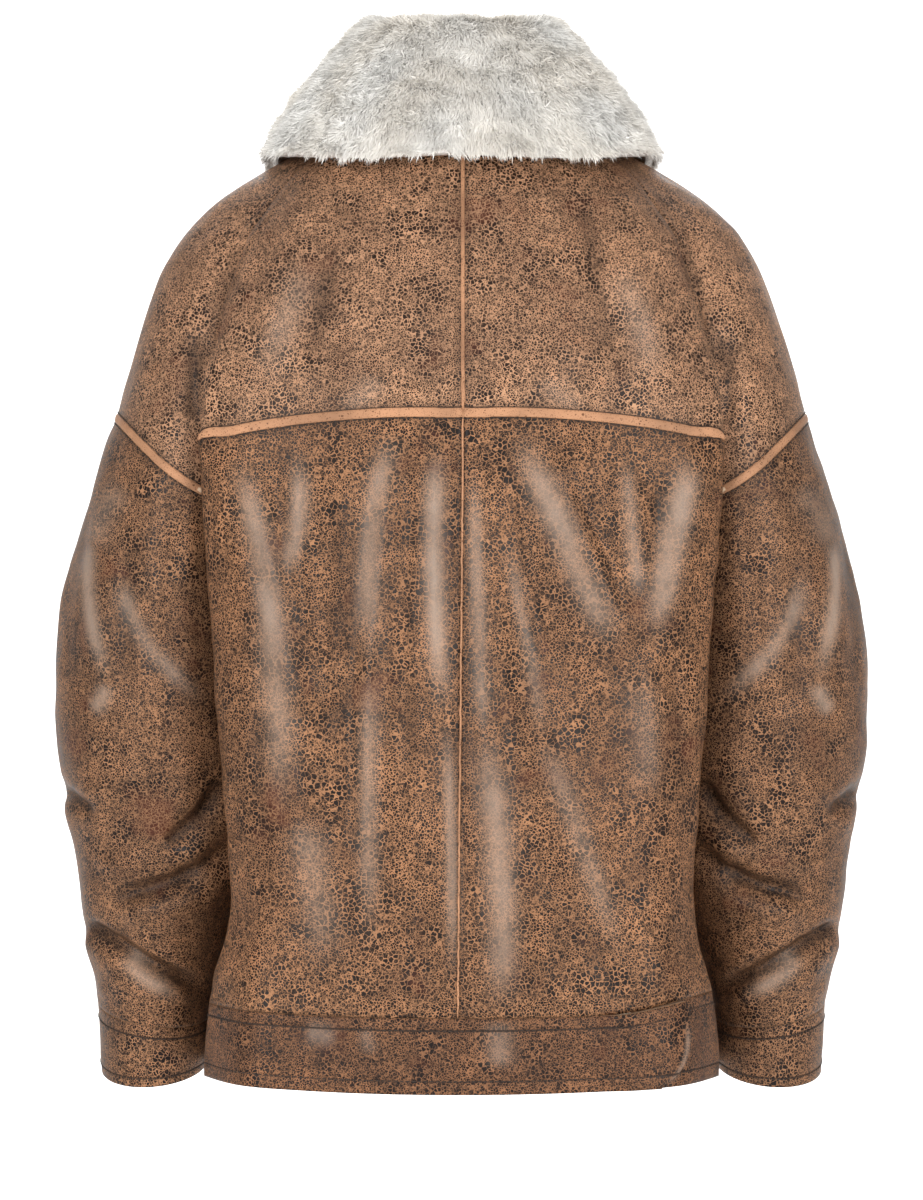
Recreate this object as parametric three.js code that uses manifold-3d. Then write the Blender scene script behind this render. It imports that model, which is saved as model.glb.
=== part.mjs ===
// Shearling jacket, filled out as if worn. Millimetres, +Z up, -Y is the back, +X is the wearer's right.
// The origin is the centre of the neck opening, level with the back neck seam.
import * as THREE from "three";
import Module from "manifold-3d";

const WALL = 5; // leather with its wool
const BAND_WALL = 5.5;
const SEAM_GAP = 0.34; // clear distance between two sewn pieces
const COLLAR_WALL = 14; // fur, leather and fur backing
const COLLAR_SEAT = 0.45; // the collar stands this far above the neck edge
const ZIP_HALF = 6.6; // the fronts stop this far from the centre
const ZIP_STRIP_HALF = 6.2;
const ZIP_STRIP_THICK = 3;
const ZIP_SINK = 1; // the strip lies this far under the face of the fronts
const ARM_JOIN = 118; // degrees round the armhole where it meets the yoke seam, inside the fold
const TAB_LIFT = 6.4; // the round tab end of the back band lies this far over the side band
const BACK_SEAM_TOP = 1.1; // the centre back seam drifts sideways from here
const BACK_SEAM_LOW = -2.6;

// Leather, fur and metal, from the photograph.
const MATERIALS = {
  leather: { color: "#7d6049", roughness: 0.52, metalness: 0 },
  band: { color: "#7a5c44", roughness: 0.55, metalness: 0 },
  fur: { color: "#e1dcd4", roughness: 0.95, metalness: 0 },
  tape: { color: "#3a2b22", roughness: 0.8, metalness: 0 },
  metal: { color: "#8a7a60", roughness: 0.35, metalness: 0.9 },
};

// The body's level sections: half widths and depths at each height.
const BODY = {
  columns: ["z", "back", "cornerX", "cornerY", "side", "frontX", "frontY", "front"],
  rows: [
    [-717, -147, 187, -82, 187, 185, 82, 125],
    [-690, -148, 187, -82, 186, 185, 82, 126],
    [-661, -148.5, 184, -88, 179.5, 180, 86, 126],
    [-635, -150, 179.5, -94, 172, 176, 90, 127],
    [-600, -152, 170, -100, 161, 170, 94, 128],
    [-565, -154, 167.5, -105, 152, 169, 97, 129],
    [-480, -156, 174.5, -110, 146, 174, 99, 130],
    [-390, -156, 181, -112, 144, 178, 101, 130],
    [-300, -153, 187.8, -112, 143.5, 183, 103, 128],
    [-225, -147, 192.5, -112, 147, 186, 104, 126],
  ],
};

// Lines from the neck over the shoulder, by turn in degrees from centre back to centre front.
const SHOULDER = {
  columns: ["turn", "neckX", "neckY", "neckZ", "heading", "slope", "start", "leanX", "leanY", "reach"],
  rows: [
    [0, 0, -75, 0, 0, 58, 80, 0, -0.05, 80],
    [25, 36, -68, -1, 22, 54, 85, 0, -0.06, 80],
    [45, 60, -53, -3, 40, 46, 100, 0.02, -0.08, 80],
    [60, 73.6, -37.5, -5, 55, 38, 120, 0.06, -0.1, 85],
    [66, 77.6, -31, -6, 60, 35, 129, 0.08, -0.08, 92],
    [70, 80, -26, -6.5, 64, 33, 135, -0.01, 0.08, 128],
    [74, 81.8, -21, -7, 69, 31, 140, 0.08, -0.02, 120],
    [80, 84, -13, -7.5, 78, 27, 150, 0.22, -0.05, 115],
    [90, 85, 0, -9, 90, 23, 160, 0.3, 0, 125],
    [100, 84, 13, -13, 102, 25, 150, 0.22, 0.05, 115],
    [106, 82, 21, -18, 110, 28, 138, 0.08, 0.02, 118],
    [110, 80, 26, -21, 115, 31, 130, -0.01, -0.08, 122],
    [114, 78, 31, -25, 119, 34, 122, 0.08, 0.08, 85],
    [120, 73.6, 37.5, -31, 126, 38, 110, 0.06, 0.1, 75],
    [135, 60, 52, -50, 140, 48, 85, 0.03, 0.1, 60],
    [155, 36, 66, -74, 158, 56, 65, 0, 0.08, 50],
    [180, 6.6, 72, -90, 180, 60, 55, 0, 0.06, 45],
  ],
};

// Height of the yoke seam round the body. At 4 it turns the corner, at 5 it meets the armhole.
const SEAM_HEIGHT = {
  columns: ["place", "z"],
  rows: [
    [0, -225],
    [1, -225.5],
    [2, -230],
    [3, -237],
    [4, -244],
    [5, -284.7],
  ],
};

// Sleeve rings, from the armhole to the cuff seam.
const SLEEVE = {
  columns: ["step", "outX", "outZ", "inX", "inZ", "depth", "midY", "sag", "tilt"],
  rows: [
    [0, 258.5, -223.5, 149.9, -295.5, 96, 2, 12, 0],
    [1, 269, -254, 155, -314, 96, 2, 9, 0],
    [2, 277.5, -285, 154.5, -334, 95, 2, 6, 0],
    [3, 287.5, -315, 153, -356, 94, 3, 4, 0],
    [4, 296, -345, 152, -378, 92.5, 4, 2, 0],
    [5, 301.5, -375, 152, -403, 91, 5, 1, 0],
    [6, 304.8, -405, 152, -428, 89.5, 6, 0, 1],
    [7, 305.8, -435, 152.5, -453, 88, 8, 0, 2],
    [8, 305, -460, 153, -476, 86, 10, 0, 3],
    [9, 302, -485, 154, -499, 84, 13, 0, 3],
    [10, 297, -510, 156, -522, 81, 16, 0, 4],
    [11, 293, -533, 158.5, -545, 78, 19.5, 0, 4],
    [12, 290, -556, 162, -567, 75, 23, 0, 5],
    [13, 289, -578, 167, -588, 71.5, 26.5, 0, 5],
    [14, 286.5, -598, 173, -608, 68, 30, 0, 6],
    [15, 282, -618, 180, -628, 64.5, 33.5, 0, 7],
    [16, 280, -638, 186, -650, 61, 36.5, 0, 8],
    [17, 275.5, -663, 191, -675, 58, 40, 0, 9],
  ],
};
const CUFF_HEM = { outX: 273, outZ: -715, inX: 192.5, inZ: -710, depth: 56, midY: 45, sag: 0, tilt: 12 };

// Sections of the turned-down collar, by turn. Offsets run outward from the neck seam, heights up from it.
const COLLAR = {
  columns: ["turn", "lean", "top", "fallOut", "fallHeight", "bulge"],
  rows: [
    [0, -8, 70, 50, -33, 3],
    [25, -9, 71, 53, -33, 3],
    [45, -12, 74, 58, -29, 3],
    [70, -18, 81, 63, -20, 3],
    [90, -20, 84, 64, -14, 3],
    [115, -16, 78, 66, -22, 4],
    [135, -8, 62, 66, -40, 5],
    [152, -2, 46, 62, -50, 5],
    [166, 0, 34, 54, -46, 5],
  ],
};

// Soft ridges on the lower back: three points seen from behind, width and height.
const BACK_RIDGES = {
  columns: ["x0", "z0", "x1", "z1", "x2", "z2", "width", "height"],
  rows: [
    [-155, -256, -127, -389, -109, -446, 16, 5],
    [-116, -256, -116, -331, -109, -396, 10, 3],
    [-48, -245, -64, -400, -69, -575, 9, 4.5],
    [-16, -252, -14, -450, -5, -633, 8, 3],
    [14, -252, 20, -450, 28, -647, 10, 4],
    [31, -331, 60, -440, 107, -611, 15, 3.5],
    [49, -238, 92, -331, 128, -396, 15, 5],
    [117, -252, 125, -331, 139, -389, 10, 3],
    [171, -256, 157, -331, 139, -396, 12, 4.5],
  ],
};

// Creases of the sleeve: the cloth above rolls over a narrow trough. Half widths and depths in mm.
const SLEEVE_CREASES = {
  columns: ["x0", "z0", "x1", "z1", "x2", "z2", "roll", "height", "depth"],
  rows: [
    [308, -496, 295, -504, 274, -516, 13, 2.5, 3.5],
    [172, -490, 190, -518, 220, -543, 17, 7, 7],
    [168, -534, 205, -567, 262, -581, 18, 7, 8],
    [288, -600, 245, -623, 189, -652, 14, 4.5, 6.5],
  ],
};

// How finely each piece is divided.
const DIVISIONS = {
  seam: 11, // along the yoke seam from centre back to the corner
  turn: 2, // round the corner to the armhole
  armTop: 7, // back of the armhole, from the fold to the shoulder seam
  armUnder: 5, // back of the armhole, from the fold to the underarm
  frontTop: 5,
  frontUnder: 4,
  chest: 7,
  shoulder: 9,
  back: 16,
  frontLower: 12,
  sleeve: 21,
  cuff: 3,
  band: 5,
  collarRound: 20,
  collarAcross: 11,
  zip: 14,
};

const clamp = (t) => Math.min(1, Math.max(0, t));
const smooth = (t) => clamp(t) * clamp(t) * (3 - 2 * clamp(t));
const mix = (a, b, t) => a + (b - a) * t;
const rad = THREE.MathUtils.degToRad;
const point = (x, y, z) => new THREE.Vector3(x, y, z);

// A table read at any value of its first column, with smooth curves between the rows.
function reader(table) {
  const keys = table.rows.map((row) => row[0]);
  const slope = (i, c) => {
    const a = Math.max(0, i - 1);
    const b = Math.min(keys.length - 1, i + 1);
    return (table.rows[b][c] - table.rows[a][c]) / (keys[b] - keys[a]);
  };
  return (key) => {
    const k = Math.min(keys[keys.length - 1], Math.max(keys[0], key));
    let i = 0;
    while (i < keys.length - 2 && k > keys[i + 1]) i++;
    const h = keys[i + 1] - keys[i];
    const t = (k - keys[i]) / h;
    const out = {};
    table.columns.forEach((name, c) => {
      const p = table.rows[i][c];
      const q = table.rows[i + 1][c];
      const m = slope(i, c) * h;
      const n = slope(i + 1, c) * h;
      const t2 = t * t;
      const t3 = t2 * t;
      out[name] = (2 * t3 - 3 * t2 + 1) * p + (t3 - 2 * t2 + t) * m + (3 * t2 - 2 * t3) * q + (t3 - t2) * n;
    });
    return out;
  };
}

const bodyAt = reader(BODY);
const shoulderAt = reader(SHOULDER);
const seamAt = reader(SEAM_HEIGHT);
const sleeveAt = reader(SLEEVE);
const collarAt = reader(COLLAR);

// Sideways drift of the centre back seam at a height.
function seamDrift(x, z) {
  const t = clamp((-225 - z) / 436);
  return mix(BACK_SEAM_TOP, BACK_SEAM_LOW, t) * Math.max(0, 1 - Math.abs(x) / 120);
}

// A point of the body: place 0 is centre back, 4 the back corner, 8 the side, 12 the front corner, 16 centre front.
function bodyPoint(place, z) {
  const s = bodyAt(z);
  const backIn = s.cornerX - s.side;
  const frontIn = s.frontX - s.side;
  const ring = [
    [0, s.back],
    [0.3 * s.cornerX, s.back + 1],
    [0.6 * s.cornerX, s.back + 6],
    [0.85 * s.cornerX, s.back + 18],
    [s.cornerX, s.cornerY],
    [s.cornerX - 0.3 * backIn, 0.8 * s.cornerY],
    [s.side + 0.15 * backIn, 0.45 * s.cornerY],
    [s.side, 0.2 * s.cornerY],
    [s.side, 5],
    [s.side, 0.3 * s.frontY],
    [s.side + 0.15 * frontIn, 0.5 * s.frontY],
    [s.frontX - 0.3 * frontIn, 0.8 * s.frontY],
    [s.frontX, s.frontY],
    [0.85 * s.frontX, s.front - 16],
    [0.6 * s.frontX, s.front - 6],
    [0.3 * s.frontX, s.front - 1],
    [0, s.front],
  ];
  const at = (i) => {
    if (i < 0) return [-ring[-i][0], ring[-i][1]];
    if (i > 16) return [-ring[32 - i][0], ring[32 - i][1]];
    return ring[i];
  };
  const i = Math.min(15, Math.floor(place));
  const t = place - i;
  const [a, b, c, d] = [at(i - 1), at(i), at(i + 1), at(i + 2)];
  const spline = (k) =>
    0.5 *
    (2 * b[k] +
      (c[k] - a[k]) * t +
      (2 * a[k] - 5 * b[k] + 4 * c[k] - d[k]) * t * t +
      (3 * b[k] - a[k] - 3 * c[k] + d[k]) * t * t * t);
  return point(spline(0), spline(1), z);
}

// A point of a sleeve ring. Angle 0 is outermost, 90 the back, 180 the underarm, 270 the front.
function ringPoint(ring, angle) {
  const c = Math.cos(rad(angle));
  const s = Math.sin(rad(angle));
  const x = (ring.outX + ring.inX) / 2 + ((ring.outX - ring.inX) / 2) * c;
  const z = (ring.outZ + ring.inZ) / 2 + ((ring.outZ - ring.inZ) / 2) * c;
  return point(x, ring.midY - ring.depth * s, z - ring.sag * Math.abs(s) ** 3 - ring.tilt * s);
}

// The edge shared by yoke and lower back, and by the two halves of a front, from the centre to the armhole fold.
function seamEdge(place, front) {
  const z = seamAt(place).z;
  const p = bodyPoint(front ? 16 - place : place, z);
  const join = ringPoint(sleeveAt(0), front ? -ARM_JOIN : ARM_JOIN);
  const last = bodyPoint(front ? 11 : 5, join.z);
  const pull = smooth(place - 4);
  return p.addScaledVector(join.sub(last), pull);
}

// A line over the shoulder at a turn, from the neck (t = 0) to the edge below (t = 1).
function shoulderPoint(turn, edge, t) {
  const s = shoulderAt(turn);
  const neck = point(s.neckX, s.neckY, s.neckZ);
  const out = rad(s.heading);
  const down = rad(s.slope);
  const start = point(Math.cos(down) * Math.sin(out), -Math.cos(down) * Math.cos(out), -Math.sin(down));
  const end = point(s.leanX, s.leanY, -1).normalize();
  const a = neck.clone().addScaledVector(start, s.start);
  const b = edge.clone().addScaledVector(end, -s.reach);
  return new THREE.CubicBezierCurve3(neck, a, b, edge).getPoint(t);
}

// How far along a three-point line the nearest place is, and how far off it lies.
function nearLine(row, x, z) {
  let best = { off: Infinity, along: 0, side: 1 };
  for (const [i, x0, z0, x1, z1] of [
    [0, row.x0, row.z0, row.x1, row.z1],
    [1, row.x1, row.z1, row.x2, row.z2],
  ]) {
    const dx = x1 - x0;
    const dz = z1 - z0;
    const t = clamp(((x - x0) * dx + (z - z0) * dz) / (dx * dx + dz * dz));
    const off = Math.hypot(x - x0 - t * dx, z - z0 - t * dz);
    if (off < best.off) best = { off, along: (i + t) / 2, side: Math.sign((x - x0) * dz - (z - z0) * dx) || 1 };
  }
  return best;
}

const named = (table) => table.rows.map((row) => Object.fromEntries(table.columns.map((c, i) => [c, row[i]])));
const RIDGES = named(BACK_RIDGES);
const CREASES = named(SLEEVE_CREASES);
const taper = (along) => smooth(along / 0.18) * smooth((1 - along) / 0.18);

// Height of the soft ridges at a place on the lower back, fading at its seams.
function ridgeHeight(p) {
  const fade = smooth((-240 - p.z) / 30) * smooth((p.z + 655) / 25) * smooth((-70 - p.y) / 30);
  let h = 0;
  for (const row of RIDGES) {
    const near = nearLine(row, p.x, p.z);
    h += row.height * taper(near.along) * Math.exp(-((near.off / row.width) ** 2));
  }
  return h * fade;
}

// Rolls and troughs of the sleeve, by distance above and below each crease. The front has similar ones.
function creaseHeight(p, midY) {
  const shift = p.y > midY ? 14 : 0;
  const fade = smooth(Math.abs(p.y - midY) / 30) * smooth((-300 - p.z) / 60) * smooth((p.z + 668) / 20);
  let h = 0;
  for (const row of CREASES) {
    const near = nearLine(row, Math.abs(p.x), p.z - shift);
    const above = near.side * near.off * Math.sign(row.x2 - row.x0);
    const roll = row.height * Math.exp(-(((above - row.roll) / row.roll) ** 2));
    const trough = row.depth * Math.exp(-((above / (0.45 * row.roll)) ** 2));
    h += (roll - trough) * taper(near.along);
  }
  return h * fade;
}

// A sheet is a list of points with triangles that face outward. Equal points are shared.
class Sheet {
  constructor() {
    this.points = [];
    this.faces = [];
    this.index = new Map();
  }
  add(p) {
    const key = keyOf(p);
    if (!this.index.has(key)) {
      this.index.set(key, this.points.length);
      this.points.push(p.clone());
    }
    return this.index.get(key);
  }
  triangle(a, b, c) {
    if (a !== b && b !== c && a !== c) this.faces.push([a, b, c]);
  }
  // A grid of points, across by down, facing outward for the wearer's right.
  grid(rows) {
    const ids = rows.map((row) => row.map((p) => this.add(p)));
    for (let j = 0; j + 1 < ids.length; j++) {
      for (let i = 0; i + 1 < ids[j].length; i++) {
        const [a, b, c, d] = [ids[j][i], ids[j][i + 1], ids[j + 1][i + 1], ids[j + 1][i]];
        this.triangle(a, d, c);
        this.triangle(a, c, b);
      }
    }
    return this;
  }
  mirrored() {
    const other = new Sheet();
    const ids = this.points.map((p) => other.add(point(-p.x, p.y, p.z)));
    other.faces = this.faces.map(([a, b, c]) => [ids[a], ids[c], ids[b]]);
    return other;
  }
  normals() {
    const sums = this.points.map(() => point(0, 0, 0));
    for (const face of this.faces) {
      const [a, b, c] = face.map((i) => this.points[i]);
      const n = b.clone().sub(a).cross(c.clone().sub(a)).normalize();
      face.forEach((i, k) => {
        const p = this.points[i];
        const u = this.points[face[(k + 1) % 3]].clone().sub(p);
        const v = this.points[face[(k + 2) % 3]].clone().sub(p);
        sums[i].addScaledVector(n, u.angleTo(v));
      });
    }
    return sums;
  }
  // Moves each point inside the border along its normal by what the function gives.
  raise(height) {
    const normals = this.normals();
    const edge = new Set(this.border().flat());
    this.points.forEach((p, i) => {
      if (!edge.has(i)) p.addScaledVector(normals[i].normalize(), height(p.clone()));
    });
    return this;
  }
  // Edges that only one triangle has, in the direction of that triangle.
  border() {
    const seen = new Map();
    for (const [a, b, c] of this.faces) {
      for (const [p, q] of [[a, b], [b, c], [c, a]]) seen.set(p + "," + q, [p, q]);
    }
    return [...seen.values()].filter(([p, q]) => !seen.has(q + "," + p));
  }
}

function keyOf(p) {
  return [p.x, p.y, p.z].map((v) => Math.round(v * 200)).join(",");
}

// Turns sheets into walls. Sheets that meet share the direction of their edge, and each is drawn back by half the gap.
function makeWalls(sheets, thickness) {
  const shared = new Map();
  for (const { sheet } of sheets) {
    sheet.normals().forEach((n, i) => {
      const key = keyOf(sheet.points[i]);
      if (!shared.has(key)) shared.set(key, point(0, 0, 0));
      shared.get(key).add(n);
    });
  }
  return sheets.map(({ name, sheet, wall = thickness, material }) => {
    const normals = sheet.points.map((p) => shared.get(keyOf(p)).clone().normalize());
    const border = sheet.border();
    const sides = new Map();
    for (const [a, b] of border) {
      const along = sheet.points[b].clone().sub(sheet.points[a]).normalize();
      for (const i of [a, b]) {
        const inward = normals[i].clone().cross(along).normalize();
        if (!sides.has(i)) sides.set(i, []);
        sides.get(i).push(inward);
      }
    }
    const outer = sheet.points.map((p) => p.clone());
    for (const [i, [m, n]] of sides) {
      outer[i].addScaledVector(m.clone().add(n), SEAM_GAP / 2 / Math.max(0.2, 1 + m.dot(n)));
    }
    const inner = outer.map((p, i) => p.clone().addScaledVector(normals[i], -wall));
    const count = outer.length;
    const faces = [];
    for (const [a, b, c] of sheet.faces) faces.push([a, b, c], [a + count, c + count, b + count]);
    for (const [a, b] of border) {
      // Both sides of a seam split this strip along the same line.
      if (keyOf(sheet.points[a]) < keyOf(sheet.points[b])) faces.push([b, a, b + count], [a, a + count, b + count]);
      else faces.push([b, a, a + count], [b, a + count, b + count]);
    }
    return meshOf(name, [...outer, ...inner], faces, material);
  });
}

function meshOf(name, points, faces, material) {
  const geometry = new THREE.BufferGeometry();
  geometry.setAttribute("position", new THREE.Float32BufferAttribute(points.flatMap((p) => [p.x, p.y, p.z]), 3));
  geometry.setIndex(faces.flat());
  geometry.computeVertexNormals();
  const mesh = new THREE.Mesh(geometry, new THREE.MeshStandardMaterial(MATERIALS[material]));
  mesh.name = name;
  return mesh;
}

const steps = (from, to, count) => Array.from({ length: count + 1 }, (_, i) => mix(from, to, i / count));
const spaced = (from, to, count) => steps(from, to, count).slice(1);

// Columns of the edge round one side, each with its turn over the shoulder and its place on the body.
function edgeColumns(front) {
  const sign = front ? -1 : 1;
  const centre = front ? 0.12 : 0;
  const seamCount = front ? DIVISIONS.chest : DIVISIONS.seam;
  const seam = [...steps(centre, 4, seamCount), ...spaced(4, 5, DIVISIONS.turn)].map((place) => {
    const edge = seamEdge(place, front);
    if (front && place === centre) edge.x = ZIP_HALF;
    const turn = place <= 4 ? (66 * (place - centre)) / (4 - centre) : mix(66, 70, place - 4);
    return { place, turn: front ? 180 - turn : turn, edge };
  });
  const top = spaced(ARM_JOIN, 0, front ? DIVISIONS.frontTop : DIVISIONS.armTop).map((angle) => {
    const turn = mix(90, 70, angle / ARM_JOIN);
    return { turn: front ? 180 - turn : turn, angle, edge: ringPoint(sleeveAt(0), sign * angle) };
  });
  const under = spaced(ARM_JOIN, 180, front ? DIVISIONS.frontUnder : DIVISIONS.armUnder).map((angle) => ({
    place: mix(5, 8, (angle - ARM_JOIN) / (180 - ARM_JOIN)),
    angle,
    edge: ringPoint(sleeveAt(0), sign * angle),
  }));
  return { seam, top, under };
}

const BACK_EDGE = edgeColumns(false);
const FRONT_EDGE = edgeColumns(true);

// The hem band's top seam climbs a little toward the sides, more at the wearer's right.
function bandTop(x) {
  return -661 + 6 * (x / 187) ** 2 + 9 * smooth((x - 110) / 75);
}
function bandFoot(x) {
  return -716.5 + 7 * (x / 187) ** 2;
}

function drifted(p, side) {
  return p.y < 0 ? point(p.x + side * seamDrift(p.x, p.z), p.y, p.z) : p;
}

// A point on the body between the yoke seam (t = 0) and the band (t = 1), for one column and one side.
function lowerPoint(column, front, side, t) {
  const place = front ? 16 - column.place : column.place;
  const footX = bodyPoint(place, -690).x * side;
  const z = mix(column.edge.z, bandTop(footX), t);
  const shift = column.edge.clone().sub(bodyPoint(place, column.edge.z));
  const p = bodyPoint(place, z).addScaledVector(shift, 1 - smooth((column.edge.z - z) / 70));
  if (front && column.edge.x === ZIP_HALF) p.x = ZIP_HALF;
  return p;
}

function toSide(sheet, side) {
  return side > 0 ? sheet : sheet.mirrored();
}

function yokeSheet(side) {
  const columns = [...BACK_EDGE.seam, ...BACK_EDGE.top];
  const rows = steps(0, 1, DIVISIONS.shoulder).map((t) =>
    columns.map((c) => drifted(shoulderPoint(c.turn, c.edge, t), side)),
  );
  return toSide(new Sheet().grid(rows), side);
}

function backSheet(side) {
  const columns = [...BACK_EDGE.seam, ...BACK_EDGE.under];
  const rows = steps(0, 1, DIVISIONS.back).map((t) =>
    columns.map((c) => drifted(lowerPoint(c, false, side, t), side)),
  );
  return toSide(new Sheet().grid(rows), side).raise(ridgeHeight);
}

function frontSheet(side) {
  const upper = [...FRONT_EDGE.seam, ...FRONT_EDGE.top].reverse();
  const lower = [...FRONT_EDGE.seam, ...FRONT_EDGE.under].reverse();
  const sheet = new Sheet();
  sheet.grid(
    steps(0, 1, DIVISIONS.shoulder).map((t) => upper.map((c) => shoulderPoint(c.turn, c.edge, t))),
  );
  sheet.grid(steps(0, 1, DIVISIONS.frontLower).map((t) => lower.map((c) => lowerPoint(c, true, side, t))));
  return toSide(sheet, side);
}

// Angles round a sleeve, shared with the armhole edges of yoke, back and front.
const SLEEVE_ANGLES = [
  0,
  ...[...BACK_EDGE.top].reverse().slice(1).map((c) => c.angle),
  ARM_JOIN,
  ...BACK_EDGE.under.map((c) => c.angle),
  ...[...FRONT_EDGE.under].reverse().slice(1).map((c) => 360 - c.angle),
  360 - ARM_JOIN,
  ...FRONT_EDGE.top.map((c) => 360 - c.angle),
];

function sleeveSheet(side) {
  const last = SLEEVE.rows.length - 1;
  const rows = steps(0, 1, DIVISIONS.sleeve).map((t) => {
    const ring = sleeveAt(last * t ** 0.78);
    return SLEEVE_ANGLES.map((angle) => ringPoint(ring, angle)).reverse();
  });
  const sheet = new Sheet().grid(rows);
  const middle = (z) => mix(2, 40, smooth((-300 - z) / 360));
  return toSide(sheet.raise((p) => creaseHeight(p, middle(p.z))), side);
}

function cuffSheet(side) {
  const top = sleeveAt(SLEEVE.rows.length - 1);
  const rows = steps(0, 1, DIVISIONS.cuff).map((t) => {
    const ring = Object.fromEntries(Object.keys(CUFF_HEM).map((k) => [k, mix(top[k], CUFF_HEM[k], t)]));
    return SLEEVE_ANGLES.map((angle) => ringPoint(ring, angle)).reverse();
  });
  return toSide(new Sheet().grid(rows), side);
}

// A strip of the hem band over places of the body, lifted outward where it laps over its neighbour.
function bandGrid(places, side, endShape, lift) {
  return steps(0, 1, DIVISIONS.band).map((t) =>
    places.map((place, i) => {
      const moved = place + endShape(i, t);
      const x = bodyPoint(moved, -690).x * side;
      const z = mix(bandTop(x), bandFoot(x), t);
      const p = drifted(bodyPoint(moved, z), side);
      const q = drifted(bodyPoint(moved + 0.02, z), side);
      const out = q.clone().sub(p).normalize();
      const up = lift(i);
      if (moved > 15.8) p.x = ZIP_HALF;
      return point(side * (p.x + up * out.y), p.y - up * out.x, p.z);
    }),
  );
}

const plain = () => 0;
const BACK_PLACES = [...BACK_EDGE.seam, ...BACK_EDGE.under].map((c) => c.place);
const FRONT_PLACES = [...FRONT_EDGE.under].reverse().map((c) => 16 - c.place)
  .concat([...FRONT_EDGE.seam].reverse().map((c) => 16 - c.place));
const TAB_END = 3.12; // where the tab ends, as a place round the body
const TAB_UNDER = 2.25; // where the side band begins beneath it
const TAB_ROUND = 0.6; // the tab's lower corner draws back this far
const TAB_RISE = [1.75, 2.2]; // the tab climbs between these places

function bandBackSheet() {
  const sheet = new Sheet();
  sheet.grid(bandGrid(BACK_PLACES, -1, plain, plain).map((row) => row.reverse()));
  const right = [...BACK_PLACES.filter((p) => p < TAB_RISE[0]), ...steps(TAB_RISE[0], TAB_END, 8)];
  const share = (i) => Math.max(0, (i - right.length + 6) / 5);
  const roundEnd = (i, t) => -TAB_ROUND * share(i) * roundness(t);
  const climb = (i) => TAB_LIFT * smooth((right[i] - TAB_RISE[0]) / (TAB_RISE[1] - TAB_RISE[0]));
  sheet.grid(bandGrid(right, 1, roundEnd, climb));
  return sheet;
}

// How far the tab's end draws back from its longest point, down its height.
function roundness(t) {
  if (t < 0.25) return 0.9 * (0.25 - t) ** 2;
  return 1 - Math.sqrt(1 - 0.97 * clamp((t - 0.25) / 0.7) ** 2);
}

function bandFrontSheet(side) {
  const from = side > 0 ? [TAB_UNDER, ...BACK_PLACES.filter((p) => p > TAB_UNDER + 0.1)] : [];
  const places = [...from, ...FRONT_PLACES.filter((p) => p > 8 || !from.length)];
  const grid = bandGrid(places, side, plain, plain);
  return new Sheet().grid(side > 0 ? grid : grid.map((row) => row.reverse()));
}

// The collar's section at a turn: outside points from the neck seam over the top and down to its edge.
function collarSection(turn) {
  const c = collarAt(turn);
  const s = shoulderAt(turn);
  const w = COLLAR_WALL;
  const arch = [
    [-w, COLLAR_SEAT],
    [0.4 * c.lean - w - 1, 0.38 * c.top],
    [0.9 * c.lean - w - 1, 0.74 * c.top],
    [c.lean - 0.5 * w, 0.96 * c.top],
    [c.lean + 0.35 * w, c.top],
    [c.lean + 1.25 * w, 0.88 * c.top],
    [mix(c.lean + 1.25 * w, c.fallOut, 0.36) + c.bulge, mix(0.88 * c.top, c.fallHeight, 0.34)],
    [mix(c.lean + 1.25 * w, c.fallOut, 0.7) + c.bulge, mix(0.88 * c.top, c.fallHeight, 0.67)],
    [c.fallOut, c.fallHeight],
  ];
  const path = new THREE.CatmullRomCurve3(arch.map(([o, h]) => point(o, 0, h)), false, "centripetal");
  const out = rad(s.heading);
  return steps(0, 1, DIVISIONS.collarAcross).map((t) => {
    const p = path.getPoint(t);
    const place = point(s.neckX + p.x * Math.sin(out), s.neckY - p.x * Math.cos(out), s.neckZ + p.z);
    const n = path.getTangent(t);
    const wall = COLLAR_WALL * (t > 0.95 ? 0.75 : 1);
    const drop = p.z - n.x * wall;
    const under = point(p.x + n.z * wall, 0, t === 0 ? COLLAR_SEAT : drop);
    const below = point(s.neckX + under.x * Math.sin(out), s.neckY - under.x * Math.cos(out), s.neckZ + under.z);
    return [place, below];
  });
}

function collarMesh(side) {
  const turns = steps(0, 166, DIVISIONS.collarRound);
  const sections = turns.map((turn) => collarSection(turn));
  const across = sections[0].length;
  const points = [];
  for (const [i, section] of sections.entries()) {
    for (const pair of section) {
      for (const p of pair) {
        const x = i === 0 ? Math.max(p.x, SEAM_GAP / 2) : p.x;
        points.push(point(side * x, p.y, p.z));
      }
    }
  }
  const id = (i, j, k) => (i * across + j) * 2 + k;
  const faces = [];
  const quad = (a, b, c, d) => faces.push([a, b, c], [a, c, d]);
  const last = turns.length - 1;
  for (let i = 0; i < last; i++) {
    for (let j = 0; j + 1 < across; j++) {
      quad(id(i, j, 0), id(i, j + 1, 0), id(i + 1, j + 1, 0), id(i + 1, j, 0));
      quad(id(i, j, 1), id(i + 1, j, 1), id(i + 1, j + 1, 1), id(i, j + 1, 1));
    }
    quad(id(i, 0, 0), id(i + 1, 0, 0), id(i + 1, 0, 1), id(i, 0, 1));
    quad(id(i, across - 1, 0), id(i, across - 1, 1), id(i + 1, across - 1, 1), id(i + 1, across - 1, 0));
  }
  for (let j = 0; j + 1 < across; j++) {
    quad(id(0, j, 0), id(0, j, 1), id(0, j + 1, 1), id(0, j + 1, 0));
    quad(id(last, j, 0), id(last, j + 1, 0), id(last, j + 1, 1), id(last, j, 1));
  }
  const turned = side < 0 ? faces.map(([a, b, c]) => [a, c, b]) : faces;
  return meshOf(side > 0 ? "collar_right" : "collar_left", points, turned, "fur");
}

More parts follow.
